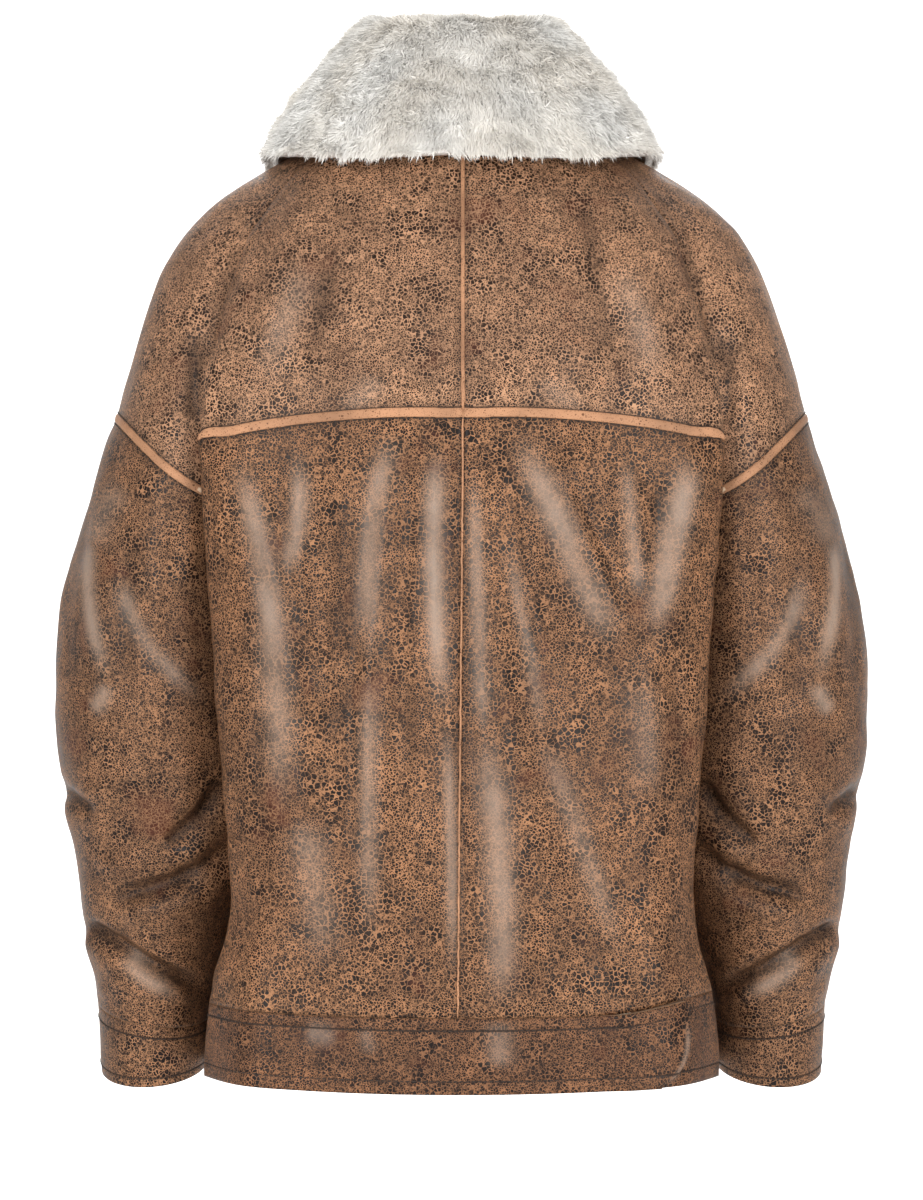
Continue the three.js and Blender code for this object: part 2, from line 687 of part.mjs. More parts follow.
// The centre front line from neck to hem, as depth and height.
const FRONT_LINE = [
  ...steps(0.03, 1, 5).map((t) => shoulderPoint(180, FRONT_EDGE.seam[0].edge, t)),
  ...steps(0, 1, 8).slice(1).map((t) => bodyPoint(16, mix(-225, -716, t))),
];

function zipStrip() {
  const points = [];
  const normals = FRONT_LINE.map((p, i) => {
    const a = FRONT_LINE[Math.max(0, i - 1)];
    const b = FRONT_LINE[Math.min(FRONT_LINE.length - 1, i + 1)];
    const along = b.clone().sub(a).normalize();
    return point(0, -along.z, along.y);
  });
  FRONT_LINE.forEach((p, i) => {
    for (const depth of [ZIP_SINK, ZIP_SINK + ZIP_STRIP_THICK]) {
      for (const x of [-ZIP_STRIP_HALF, ZIP_STRIP_HALF]) {
        points.push(point(x, p.y, p.z).addScaledVector(normals[i], -depth));
      }
    }
  });
  const faces = [];
  const quad = (a, b, c, d) => faces.push([a, b, c], [a, c, d]);
  for (let i = 0; i + 1 < FRONT_LINE.length; i++) {
    const [a, b] = [i * 4, i * 4 + 4];
    quad(a, a + 1, b + 1, b);
    quad(a + 1, a + 3, b + 3, b + 1);
    quad(a + 3, a + 2, b + 2, b + 3);
    quad(a + 2, a, b, b + 2);
  }
  const end = FRONT_LINE.length * 4 - 4;
  quad(0, 2, 3, 1);
  quad(end, end + 1, end + 3, end + 2);
  return meshOf("zip_strip", points, faces, "tape");
}

// The slider and its pull, in the slope of the centre front: x across, y out of the cloth, z up along the zip.
const SLIDER = { at: 0.11, halfWidth: 4.5, halfHeight: 7, back: -0.7, face: 1.6 };
const BRIDGE = { halfWidth: 1.2, inside: 2.6, outside: 4.2, under: 4.6, top: 6 };
const PULL = { bar: 0.75, holeHalf: 1.9, halfWidth: 3.6, holeEnd: 6.2, length: 27, thick: 1.5 };
const PIVOT_OUT = 3.1; // the pull's crossbar lies this far out from the cloth

const wasm = await Module();
wasm.setup();

function box(x0, x1, y0, y1, z0, z1) {
  return wasm.Manifold.cube([x1 - x0, y1 - y0, z1 - z0]).translate([x0, y0, z0]);
}

function solidMesh(name, solid, frame, material) {
  const { vertProperties, triVerts, numProp } = solid.getMesh();
  const points = [];
  for (let i = 0; i < vertProperties.length; i += numProp) {
    points.push(point(...vertProperties.subarray(i, i + 3)).applyMatrix4(frame));
  }
  const faces = [];
  for (let i = 0; i < triVerts.length; i += 3) faces.push([...triVerts.subarray(i, i + 3)]);
  return meshOf(name, points, faces, material);
}

function sliderFrame() {
  const edge = FRONT_EDGE.seam[0].edge;
  const a = shoulderPoint(180, edge, SLIDER.at - 0.03);
  const b = shoulderPoint(180, edge, SLIDER.at + 0.05);
  const up = point(0, a.y - b.y, a.z - b.z).normalize();
  const out = point(0, -up.z, up.y).multiplyScalar(-1);
  const middle = shoulderPoint(180, edge, SLIDER.at);
  return new THREE.Matrix4().makeBasis(point(1, 0, 0), out, up).setPosition(0, middle.y, middle.z);
}

function zipSlider(frame) {
  const s = SLIDER;
  const b = BRIDGE;
  const plate = box(-s.halfWidth, s.halfWidth, s.back, s.face, -s.halfHeight, s.halfHeight);
  const loop = box(-b.halfWidth, b.halfWidth, s.face - 0.5, b.top, -b.outside, b.outside);
  const gap = box(-b.halfWidth - 1, b.halfWidth + 1, s.face, b.under, -b.inside, b.inside);
  return solidMesh("zip_slider", plate.add(loop.subtract(gap)), frame, "metal");
}

function zipPull(frame) {
  const p = PULL;
  const shape = new THREE.Shape();
  shape.moveTo(-p.halfWidth, p.bar);
  shape.lineTo(-p.halfWidth * 0.8, -p.length + 2);
  shape.lineTo(-p.halfWidth * 0.5, -p.length);
  shape.lineTo(p.halfWidth * 0.5, -p.length);
  shape.lineTo(p.halfWidth * 0.8, -p.length + 2);
  shape.lineTo(p.halfWidth, p.bar);
  shape.closePath();
  const hole = new THREE.Path();
  hole.moveTo(-p.holeHalf, -p.bar);
  hole.lineTo(p.holeHalf, -p.bar);
  hole.lineTo(p.holeHalf, -p.holeEnd);
  hole.lineTo(-p.holeHalf, -p.holeEnd);
  hole.closePath();
  shape.holes.push(hole);
  const geometry = new THREE.ExtrudeGeometry(shape, { depth: p.thick, bevelEnabled: false });
  geometry.rotateX(Math.PI / 2).translate(0, PIVOT_OUT + p.thick / 2, 0);
  geometry.applyMatrix4(frame);
  const mesh = new THREE.Mesh(geometry, new THREE.MeshStandardMaterial(MATERIALS.metal));
  mesh.name = "zip_pull";
  return mesh;
}

const part = new THREE.Group();
part.name = "shearling_jacket";
const sheets = [];
for (const [side, word] of [[1, "right"], [-1, "left"]]) {
  sheets.push(
    { name: "back_yoke_" + word, sheet: yokeSheet(side), material: "leather" },
    { name: "back_" + word, sheet: backSheet(side), material: "leather" },
    { name: "front_" + word, sheet: frontSheet(side), material: "leather" },
    { name: "sleeve_" + word, sheet: sleeveSheet(side), material: "leather" },
    { name: "cuff_" + word, sheet: cuffSheet(side), material: "leather" },
    { name: "waistband_front_" + word, sheet: bandFrontSheet(side), wall: BAND_WALL, material: "band" },
  );
}
sheets.push({ name: "waistband_back", sheet: bandBackSheet(), wall: BAND_WALL, material: "band" });
part.add(...makeWalls(sheets, WALL));
part.add(collarMesh(1), collarMesh(-1), zipStrip());
const slope = sliderFrame();
part.add(zipSlider(slope), zipPull(slope));

export default part;
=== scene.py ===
# Looks of the shearling jacket. Tables are in millimetres, as in the part's source; meshes are in metres.
import math

import bpy
import numpy as np
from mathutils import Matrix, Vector
from mathutils.bvhtree import BVHTree
from mathutils.kdtree import KDTree


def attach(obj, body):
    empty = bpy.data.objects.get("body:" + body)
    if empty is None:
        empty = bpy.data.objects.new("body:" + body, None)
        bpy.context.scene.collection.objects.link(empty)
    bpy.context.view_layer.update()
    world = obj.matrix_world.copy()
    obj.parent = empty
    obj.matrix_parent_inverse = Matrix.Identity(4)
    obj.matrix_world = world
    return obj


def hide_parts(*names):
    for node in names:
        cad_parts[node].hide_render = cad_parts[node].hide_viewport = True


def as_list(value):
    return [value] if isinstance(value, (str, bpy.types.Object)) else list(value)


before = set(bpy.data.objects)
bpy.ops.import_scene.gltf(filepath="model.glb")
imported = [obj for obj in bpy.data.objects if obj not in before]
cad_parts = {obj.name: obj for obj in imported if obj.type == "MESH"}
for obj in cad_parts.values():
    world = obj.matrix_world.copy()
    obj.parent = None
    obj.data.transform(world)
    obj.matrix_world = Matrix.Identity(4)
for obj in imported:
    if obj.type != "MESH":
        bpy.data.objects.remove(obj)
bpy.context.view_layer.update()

MM = 0.001
WALL = 5.0
BAND_WALL = 5.5
SEAM_GAP = 0.34
COLLAR_WALL = 14.0
ZIP_HALF = 6.6
ARM_JOIN = 118.0
YOKE_BASE = -225
YOKE_LINE_END = 3.96
ZIP_PLACE = 15.86
COLLAR_END = 166
BAND_LEVEL = -690
BACK_SEAM_TOP = 1.1
BACK_SEAM_LOW = -2.6
BACK_SEAM_FALL = 436
BACK_SEAM_REACH = 120
YOKE_WELT = 3.5
ARM_WELT = 3.1
BAND_STITCH = 9.0
HEM_STITCH = -10.0
# The tab's end on the hem band: its height, and by place its tip, root, roundness and rise.
TAB_LIFT, TAB_END, TAB_UNDER, TAB_ROUND, TAB_RISE = 6.4, 3.12, 2.25, 0.6, (1.75, 2.2)
FUR_LENGTH = 7.0
FUR_ROOT = FUR_LENGTH * 0.56
FALL_HAIRS, NECK_HAIRS = 86000, 30000
# The distance kept where no seam or stitch is near.
FAR = 40.0

# The body's level sections: half widths and depths at each height.
BODY = ("z back cornerX cornerY side frontX frontY front", [
    (-717, -147, 187, -82, 187, 185, 82, 125),
    (-690, -148, 187, -82, 186, 185, 82, 126),
    (-661, -148.5, 184, -88, 179.5, 180, 86, 126),
    (-635, -150, 179.5, -94, 172, 176, 90, 127),
    (-600, -152, 170, -100, 161, 170, 94, 128),
    (-565, -154, 167.5, -105, 152, 169, 97, 129),
    (-480, -156, 174.5, -110, 146, 174, 99, 130),
    (-390, -156, 181, -112, 144, 178, 101, 130),
    (-300, -153, 187.8, -112, 143.5, 183, 103, 128),
    (-225, -147, 192.5, -112, 147, 186, 104, 126),
])
# Lines from the neck over the shoulder, by turn in degrees from centre back to centre front.
SHOULDER = ("turn neckX neckY neckZ heading slope start leanX leanY reach", [
    (0, 0, -75, 0, 0, 58, 80, 0, -0.05, 80),
    (25, 36, -68, -1, 22, 54, 85, 0, -0.06, 80),
    (45, 60, -53, -3, 40, 46, 100, 0.02, -0.08, 80),
    (60, 73.6, -37.5, -5, 55, 38, 120, 0.06, -0.1, 85),
    (66, 77.6, -31, -6, 60, 35, 129, 0.08, -0.08, 92),
    (70, 80, -26, -6.5, 64, 33, 135, -0.01, 0.08, 128),
    (74, 81.8, -21, -7, 69, 31, 140, 0.08, -0.02, 120),
    (80, 84, -13, -7.5, 78, 27, 150, 0.22, -0.05, 115),
    (90, 85, 0, -9, 90, 23, 160, 0.3, 0, 125),
    (100, 84, 13, -13, 102, 25, 150, 0.22, 0.05, 115),
    (106, 82, 21, -18, 110, 28, 138, 0.08, 0.02, 118),
    (110, 80, 26, -21, 115, 31, 130, -0.01, -0.08, 122),
    (114, 78, 31, -25, 119, 34, 122, 0.08, 0.08, 85),
    (120, 73.6, 37.5, -31, 126, 38, 110, 0.06, 0.1, 75),
    (135, 60, 52, -50, 140, 48, 85, 0.03, 0.1, 60),
    (155, 36, 66, -74, 158, 56, 65, 0, 0.08, 50),
    (180, 6.6, 72, -90, 180, 60, 55, 0, 0.06, 45),
])
SEAM_HEIGHT = ("place z", [(0, -225), (1, -225.5), (2, -230), (3, -237), (4, -244), (5, -284.7)])
# Sleeve rings, from the armhole to the cuff seam.
SLEEVE = ("step outX outZ inX inZ depth midY sag tilt", [
    (0, 258.5, -223.5, 149.9, -295.5, 96, 2, 12, 0),
    (1, 269, -254, 155, -314, 96, 2, 9, 0),
    (2, 277.5, -285, 154.5, -334, 95, 2, 6, 0),
    (3, 287.5, -315, 153, -356, 94, 3, 4, 0),
    (4, 296, -345, 152, -378, 92.5, 4, 2, 0),
    (5, 301.5, -375, 152, -403, 91, 5, 1, 0),
    (6, 304.8, -405, 152, -428, 89.5, 6, 0, 1),
    (7, 305.8, -435, 152.5, -453, 88, 8, 0, 2),
    (8, 305, -460, 153, -476, 86, 10, 0, 3),
    (9, 302, -485, 154, -499, 84, 13, 0, 3),
    (10, 297, -510, 156, -522, 81, 16, 0, 4),
    (11, 293, -533, 158.5, -545, 78, 19.5, 0, 4),
    (12, 290, -556, 162, -567, 75, 23, 0, 5),
    (13, 289, -578, 167, -588, 71.5, 26.5, 0, 5),
    (14, 286.5, -598, 173, -608, 68, 30, 0, 6),
    (15, 282, -618, 180, -628, 64.5, 33.5, 0, 7),
    (16, 280, -638, 186, -650, 61, 36.5, 0, 8),
    (17, 275.5, -663, 191, -675, 58, 40, 0, 9),
])
CUFF_HEM = dict(outX=273, outZ=-715, inX=192.5, inZ=-710, depth=56, midY=45, sag=0, tilt=12)
# Sections of the turned-down collar, by turn.
COLLAR = ("turn lean top fallOut fallHeight bulge", [
    (0, -8, 70, 50, -33, 3),
    (25, -9, 71, 53, -33, 3),
    (45, -12, 74, 58, -29, 3),
    (70, -18, 81, 63, -20, 3),
    (90, -20, 84, 64, -14, 3),
    (115, -16, 78, 66, -22, 4),
    (135, -8, 62, 66, -40, 5),
    (152, -2, 46, 62, -50, 5),
    (166, 0, 34, 54, -46, 5),
])
# Large soft ridges of the solids, seen from behind: x0 z0 x1 z1 x2 z2 width height.
BACK_RIDGES = [
    (-155, -256, -127, -389, -109, -446, 16, 5),
    (-116, -256, -116, -331, -109, -396, 10, 3),
    (-48, -245, -64, -400, -69, -575, 9, 4.5),
    (-16, -252, -14, -450, -5, -633, 8, 3),
    (14, -252, 20, -450, 28, -647, 10, 4),
    (31, -331, 60, -440, 107, -611, 15, 3.5),
    (49, -238, 92, -331, 128, -396, 15, 5),
    (117, -252, 125, -331, 139, -389, 10, 3),
    (171, -256, 157, -331, 139, -396, 12, 4.5),
]
# Sleeve creases of the solids: x0 z0 x1 z1 x2 z2 roll height depth.
SLEEVE_CREASES = [
    (308, -496, 295, -504, 274, -516, 13, 2.5, 3.5),
    (172, -490, 190, -518, 220, -543, 17, 7, 7),
    (168, -534, 205, -567, 262, -581, 18, 7, 8),
    (288, -600, 245, -623, 189, -652, 14, 4.5, 6.5),
]


def smooth(t):
    t = np.clip(t, 0, 1)
    return t * t * (3 - 2 * t)


def mix(a, b, t):
    return a + (b - a) * t


def unit(v):
    return v / np.maximum(np.linalg.norm(v, axis=-1, keepdims=True), 1e-9)


def stack(*parts):
    return np.stack(np.broadcast_arrays(*[np.asarray(p, float) for p in parts]), axis=-1)


def reader(table):
    """Reads a table at any value of its first column, smooth between the rows."""
    columns, data = table[0].split(), np.array(table[1], float)
    keys, last = data[:, 0], len(data) - 1
    index = np.arange(last + 1)
    low, high = np.maximum(index - 1, 0), np.minimum(index + 1, last)
    slopes = (data[high] - data[low]) / (keys[high] - keys[low])[:, None]

    def at(key):
        k = np.clip(np.asarray(key, float), keys[0], keys[-1])
        i = np.clip(np.searchsorted(keys, k) - 1, 0, last - 1)
        h = keys[i + 1] - keys[i]
        t = ((k - keys[i]) / h)[..., None]
        p, q = data[i], data[i + 1]
        m, n = slopes[i] * h[..., None], slopes[i + 1] * h[..., None]
        t2, t3 = t * t, t * t * t
        value = (2 * t3 - 3 * t2 + 1) * p + (t3 - 2 * t2 + t) * m + (3 * t2 - 2 * t3) * q + (t3 - t2) * n
        return {name: value[..., c] for c, name in enumerate(columns)}

    return at


body_at, shoulder_at, seam_at = map(reader, (BODY, SHOULDER, SEAM_HEIGHT))
sleeve_at, collar_at = map(reader, (SLEEVE, COLLAR))
LAST_RING = len(SLEEVE[1]) - 1


def drifted(p, side):
    """The centre back seam runs a little to one side on its way down."""
    t = np.clip((YOKE_BASE - p[..., 2]) / BACK_SEAM_FALL, 0, 1)
    near = np.maximum(0, 1 - np.abs(p[..., 0]) / BACK_SEAM_REACH)
    drift = mix(BACK_SEAM_TOP, BACK_SEAM_LOW, t) * near
    return p + stack(np.where(p[..., 1] < 0, side * drift, 0), 0, 0)


def body_point(place, z):
    """Place 0 is centre back, 4 the back corner, 8 the side, 12 the front corner, 16 centre front."""
    place, z = np.broadcast_arrays(np.asarray(place, float), np.asarray(z, float))
    s = body_at(z)
    back, cx, cy, side, fx, fy, front = (s[k] for k in BODY[0].split()[1:])
    back_in, front_in = cx - side, fx - side
    ring = [
        (0 * z, back), (0.3 * cx, back + 1), (0.6 * cx, back + 6), (0.85 * cx, back + 18), (cx, cy),
        (cx - 0.3 * back_in, 0.8 * cy), (side + 0.15 * back_in, 0.45 * cy), (side, 0.2 * cy),
        (side, 5 + 0 * z), (side, 0.3 * fy), (side + 0.15 * front_in, 0.5 * fy),
        (fx - 0.3 * front_in, 0.8 * fy), (fx, fy), (0.85 * fx, front - 16), (0.6 * fx, front - 6),
        (0.3 * fx, front - 1), (0 * z, front),
    ]
    i = np.clip(np.floor(place), 0, 15).astype(int)
    t = place - i
    out = []
    for axis, sign in ((0, -1), (1, 1)):
        v = np.stack([sign * ring[1][axis]] + [r[axis] for r in ring] + [sign * ring[15][axis]])
        a, b, c, d = (np.take_along_axis(v, (i + k)[None], axis=0)[0] for k in range(4))
        square, cube = 2 * a - 5 * b + 4 * c - d, 3 * b - a - 3 * c + d
        out.append(0.5 * (2 * b + (c - a) * t + square * t * t + cube * t**3))
    return stack(out[0], out[1], z)


def ring_point(ring, angle):
    """Angle 0 is outermost, 90 the back, 180 the underarm, 270 the front."""
    c, s = np.cos(np.radians(angle)), np.sin(np.radians(angle))
    x = (ring["outX"] + ring["inX"]) / 2 + (ring["outX"] - ring["inX"]) / 2 * c
    z = (ring["outZ"] + ring["inZ"]) / 2 + (ring["outZ"] - ring["inZ"]) / 2 * c
    return stack(x, ring["midY"] - ring["depth"] * s, z - ring["sag"] * np.abs(s) ** 3 - ring["tilt"] * s)


def seam_edge(place, front):
    z = seam_at(place)["z"]
    join = ring_point(sleeve_at(0), -ARM_JOIN if front else ARM_JOIN)
    last = body_point(11 if front else 5, join[2])
    pull = smooth(np.asarray(place) - 4)[..., None]
    return body_point(16 - place if front else place, z) + (join - last) * pull


def shoulder_point(turn, edge, t):
    s = shoulder_at(turn)
    neck = stack(s["neckX"], s["neckY"], s["neckZ"])
    out, down = np.radians(s["heading"]), np.radians(s["slope"])
    start = stack(np.cos(down) * np.sin(out), -np.cos(down) * np.cos(out), -np.sin(down))
    end = unit(stack(s["leanX"], s["leanY"], -1))
    a, b = neck + start * s["start"][..., None], edge - end * s["reach"][..., None]
    t = np.asarray(t, float)
    t = t.reshape(t.shape + (1,) * a.ndim)
    return (1 - t) ** 3 * neck + 3 * (1 - t) ** 2 * t * a + 3 * (1 - t) * t * t * b + t**3 * edge


def lower_point(place, edge, front, side, t):
    place = 16 - place if front else place
    foot = foot_x(place) * side
    t = np.asarray(t, float)[:, None]
    z = mix(edge[..., 2], band_top(foot), t)
    shift = edge - body_point(place, edge[..., 2])
    p = body_point(place[None] + 0 * t, z) + shift * (1 - smooth((edge[..., 2] - z) / 70))[..., None]
    if front:
        p[:, 0, 0] = ZIP_HALF
    return p


def foot_x(place):
    return body_point(place, BAND_LEVEL)[..., 0]


def band_top(x):
    return -661 + 6 * (x / 187) ** 2 + 9 * smooth((x - 110) / 75)


def band_foot(x):
    return -716.5 + 7 * (x / 187) ** 2


def band_height(x, down):
    """A height on the hem band, so far below its top seam, or above its foot where down is below 0."""
    return band_top(x) - down if down >= 0 else band_foot(x) - down


def steps(a, b, n):
    return np.linspace(a, b, n + 1)


def quads(*corners):
    return np.stack(corners, axis=-1).reshape(-1, 4)


SIDES = ((1, "right"), (-1, "left"))
# How far down a crease of the sleeve's back comes round to the front.
SLEEVE_SHIFT = 17
# How finely each piece is divided, along and down.
FINE = dict(
    seam=56, turn=8, arm_top=30, arm_under=20, front_top=22, front_under=16, chest=34,
    shoulder=64, back=140, front=96, sleeve=156, cuff=26, band=24, collar_round=90, collar_across=60,
)


def edge_columns(front):
    sign, centre = (-1, 0.12) if front else (1, 0)
    across = FINE["chest" if front else "seam"]
    place = np.concatenate([steps(centre, 4, across), steps(4, 5, FINE["turn"])[1:]])
    turn = np.where(place <= 4, 66 * (place - centre) / (4 - centre), mix(66, 70, place - 4))
    edge = seam_edge(place, front)
    if front:
        edge[0, 0] = ZIP_HALF
    top = steps(ARM_JOIN, 0, FINE["front_top" if front else "arm_top"])[1:]
    under = steps(ARM_JOIN, 180, FINE["front_under" if front else "arm_under"])[1:]
    top_turn = mix(90, 70, top / ARM_JOIN)
    armhole = sleeve_at(0)
    turns = np.concatenate([turn, top_turn])
    return dict(
        turn=180 - turns if front else turns,
        upper=np.concatenate([edge, ring_point(armhole, sign * top)]),
        place=np.concatenate([place, mix(5, 8, (under - ARM_JOIN) / (180 - ARM_JOIN))]),
        lower=np.concatenate([edge, ring_point(armhole, sign * under)]),
        top=top,
        under=under,
    )


BACK_EDGE, FRONT_EDGE = edge_columns(False), edge_columns(True)
ANGLES = np.concatenate([
    BACK_EDGE["top"][::-1], [ARM_JOIN], BACK_EDGE["under"], 360 - FRONT_EDGE["under"][::-1][1:],
    [360 - ARM_JOIN], 360 - FRONT_EDGE["top"],
])


class Sheet:
    """Points with four-sided faces that face outward. Equal points are shared."""

    def __init__(self, grids, side=1):
        points, faces, start = [], [], 0
        for rows in grids:
            r, c = rows.shape[:2]
            ids = start + np.arange(r * c).reshape(r, c)
            faces.append(quads(ids[:-1, :-1], ids[1:, :-1], ids[1:, 1:], ids[:-1, 1:]))
            points.append(rows.reshape(-1, 3))
            start += r * c
        points = np.concatenate(points)
        keys = np.round(points * 100).astype(int)
        _, first, back = np.unique(keys, axis=0, return_index=True, return_inverse=True)
        self.points = points[first]
        self.faces = back.reshape(-1)[np.concatenate(faces)]
        if side < 0:
            self.points = self.points * (-1, 1, 1)
            self.faces = self.faces[:, ::-1]

    def normals(self):
        p = self.points[self.faces]
        flat = np.cross(p[:, 2] - p[:, 0], p[:, 3] - p[:, 1])
        sums = np.zeros_like(self.points)
        for k in range(4):
            np.add.at(sums, self.faces[:, k], flat)
        return unit(sums)

    def border(self):
        edges = np.concatenate([self.faces[:, [k, (k + 1) % 4]] for k in range(4)])
        edges = edges[edges[:, 0] != edges[:, 1]]
        n = len(self.points)
        return edges[~np.isin(edges[:, 0] * n + edges[:, 1], edges[:, 1] * n + edges[:, 0])]


def near_line(points, row, curved=True):
    """Distance to, place along and side of a three-point line, all seen from behind."""
    line = np.array(row[:6], float).reshape(3, 2)
    x, z = points[:, 0], points[:, 2]
    if curved:
        t = np.linspace(0, 1, 12)[:, None]
        middle = 2 * line[1] - (line[0] + line[2]) / 2
        line = (1 - t) ** 2 * line[0] + 2 * t * (1 - t) * middle + t * t * line[2]
    best, along, side = np.full(len(x), 1e9), np.zeros(len(x)), np.ones(len(x))
    for i in range(len(line) - 1):
        (ax, az), (dx, dz) = line[i], line[i + 1] - line[i]
        t = np.clip(((x - ax) * dx + (z - az) * dz) / (dx * dx + dz * dz), 0, 1)
        off = np.hypot(x - ax - t * dx, z - az - t * dz)
        closer = off < best
        best = np.where(closer, off, best)
        along = np.where(closer, (i + t) / (len(line) - 1), along)
        side = np.where(closer, np.sign((x - ax) * dz - (z - az) * dx), side)
    return best, along, side


def taper(along, end=0.18):
    return smooth(along / end) * smooth((1 - along) / end)


def ridges(points, rows):
    """Soft ridges, or troughs where the height is below 0."""
    h = np.zeros(len(points))
    for row in rows:
        off, along, _ = near_line(points, row, rows is not BACK_RIDGES)
        h += row[7] * taper(along) * np.exp(-((off / row[6]) ** 2))
    return h


def on_sleeve(points, shift):
    """Both sleeves' points as one, those in front moved in height, and a fade towards the side lines."""
    x, y, z = points.T
    middle = mix(2, 40, smooth((-300 - z) / 360))
    return stack(np.abs(x), y, z + np.where(y > middle, shift, 0)), smooth(np.abs(y - middle) / 30)


def sleeve_rolls(points):
    shifted, fade = on_sleeve(points, -14)
    z = points[:, 2]
    fade = fade * smooth((-300 - z) / 60) * smooth((z + 668) / 20)
    h = np.zeros(len(points))
    for row in SLEEVE_CREASES:
        off, along, side = near_line(shifted, row, False)
        above = side * off * np.sign(row[4] - row[0])
        roll = row[7] * np.exp(-(((above - row[6]) / row[6]) ** 2))
        trough = row[8] * np.exp(-((above / (0.45 * row[6])) ** 2))
        h += (roll - trough) * taper(along)
    return h * fade


def waves(points, length, seed, count=14):
    """Uneven undulation between about -1 and 1, with that wavelength in mm."""
    r = np.random.default_rng(seed)
    h = np.zeros(len(points))
    for direction in unit(r.normal(size=(count, 3))):
        k = 2 * math.pi / (length * r.uniform(0.7, 1.6))
        h += np.sin(points @ direction * k + r.uniform(0, 6.28))
    return h / math.sqrt(count / 2) / 1.6


# Finer creases on what the photograph shows: x0 z0 x1 z1 x2 z2 width height, seen from behind.
BACK_FINE = [
    (-170, -268, -150, -330, -128, -372, 7, -2.4),
    (-140, -262, -124, -340, -117, -392, 6, -2.2),
    (-86, -262, -92, -380, -97, -470, 9, -2.0),
    (-64, -262, -78, -400, -84, -560, 7, -1.8),
    (-34, -262, -36, -400, -40, -560, 8, -2.0),
    (38, -262, 44, -330, 66, -420, 6, -2.0),
    (76, -262, 104, -330, 120, -372, 6, -2.4),
    (142, -266, 144, -320, 140, -360, 5, -2.0),
    (128, -400, 138, -452, 142, -520, 8, 2.2),
    (150, -392, 156, -440, 158, -500, 7, -1.8),
    (62, -480, 88, -560, 100, -636, 6, -1.6),
    (-120, -440, -116, -520, -112, -610, 10, 2.0),
    (-150, -430, -146, -500, -142, -580, 8, -1.8),
    (-24, -560, -30, -606, -34, -648, 6, 1.4),
    (50, -560, 56, -606, 58, -648, 6, 1.4),
    (-96, -560, -90, -606, -86, -650, 6, -1.4),
]
YOKE_FINE = [
    (112, -52, 128, -112, 142, -178, 12, 3.2),
    (86, -60, 98, -120, 110, -196, 10, -2.6),
    (158, -92, 176, -140, 186, -196, 9, -2.4),
    (60, -96, 66, -150, 70, -212, 9, 1.6),
    (196, -160, 197, -190, 196, -232, 7, -3.0),
    (28, -76, 32, -140, 34, -214, 8, -1.2),
]
SLEEVE_FINE = [
    (298, -503, 287, -510, 270, -520, 4, -3.5),
    (220, -543, 199, -527, 176, -496, 4.5, -3.5),
    (264, -584, 215, -571, 174, -541, 4.5, -3.5),
    (283, -603, 245, -624, 190, -653, 4.5, -4.0),
    (262, -250, 268, -330, 270, -410, 12, 2.6),
    (240, -300, 246, -380, 240, -450, 9, -2.2),
    (285, -300, 292, -370, 290, -430, 8, -1.8),
    (216, -330, 220, -400, 212, -466, 9, 2.0),
    (232, -486, 262, -500, 284, -494, 9, 2.4),
    (200, -590, 230, -604, 262, -606, 7, -1.8),
    (250, -640, 262, -650, 276, -652, 6, 1.6),
    (206, -640, 216, -652, 230, -660, 6, -1.4),
    (226, -548, 250, -556, 276, -552, 6, 1.6),
]
FRONT_FINE = [
    (140, -250, 120, -330, 108, -420, 10, -2.6),
    (70, -180, 82, -320, 78, -470, 12, 2.6),
    (40, -300, 46, -420, 40, -560, 9, -2.0),
    (110, -460, 104, -540, 98, -630, 10, 2.2),
    (150, -300, 146, -400, 150, -500, 8, -2.0),
    (24, -500, 30, -570, 26, -640, 7, 1.6),
]

# Streaks of painted highlight along the ridges, with a little lower roughness: x0 z0 x1 z1 x2 z2 width
# strength, seen from behind.
BACK_SHINE = [
    (-164, -252, -142, -335, -135, -420, 8.5, 0.85),
    (-138, -340, -134, -415, -128, -520, 11, 0.6),
    (-118, -514, -106, -560, -99, -633, 12, 0.42),
    (-118, -248, -117, -300, -130, -350, 6.5, 0.7),
    (-46, -236, -64, -310, -66, -420, 8, 0.72),
    (-66, -400, -67, -500, -66, -617, 7, 0.5),
    (-16, -248, -20, -330, -12, -457, 6.5, 1.0),
    (-13, -430, -7, -537, -6, -640, 4.5, 0.62),
    (9, -256, 12, -370, 17, -470, 5.5, 0.72),
    (15, -440, 27, -553, 28, -662, 10, 0.75),
    (40, -236, 74, -315, 112, -402, 9.5, 0.85),
    (29, -305, 47, -390, 60, -466, 5, 0.45),
    (56, -450, 84, -530, 116, -622, 8, 0.42),
    (118, -250, 122, -312, 129, -366, 6, 0.62),
    (165, -252, 153, -312, 134, -398, 8.5, 0.85),
    (124, -400, 132, -457, 126, -510, 11, 0.3),
]
YOKE_SHINE = [
    (110, -112, 127, -158, 143, -208, 11, 0.36),
    (60, -196, 70, -212, 92, -226, 9, 0.3),
]
SLEEVE_SHINE = [
    (246, -272, 262, -296, 270, -330, 10, 0.4),
    (268, -316, 274, -352, 260, -428, 5.5, 1.0),
    (262, -418, 266, -434, 276, -442, 6, 0.8),
    (248, -340, 234, -387, 184, -438, 6, 0.6),
    (248, -618, 237, -638, 206, -655, 6, 0.75),
]
BAND_SHINE = [
    (-114, -671, -102, -673, -88, -676, 7, 0.5),
    (-72, -668, -68, -676, -66, -690, 5, 0.35),
    (27, -660, 27, -680, 27, -700, 9, 0.55),
    (162, -660, 161, -692, 143, -713, 1.8, 0.7),
]


def own_side(rows, name):
    """The rows as they are for a piece on the right, and mirrored for one on the left."""
    if name.endswith("right"):
        return rows
    return [(-r[0], r[1], -r[2], r[3], -r[4], *r[5:]) for r in rows]


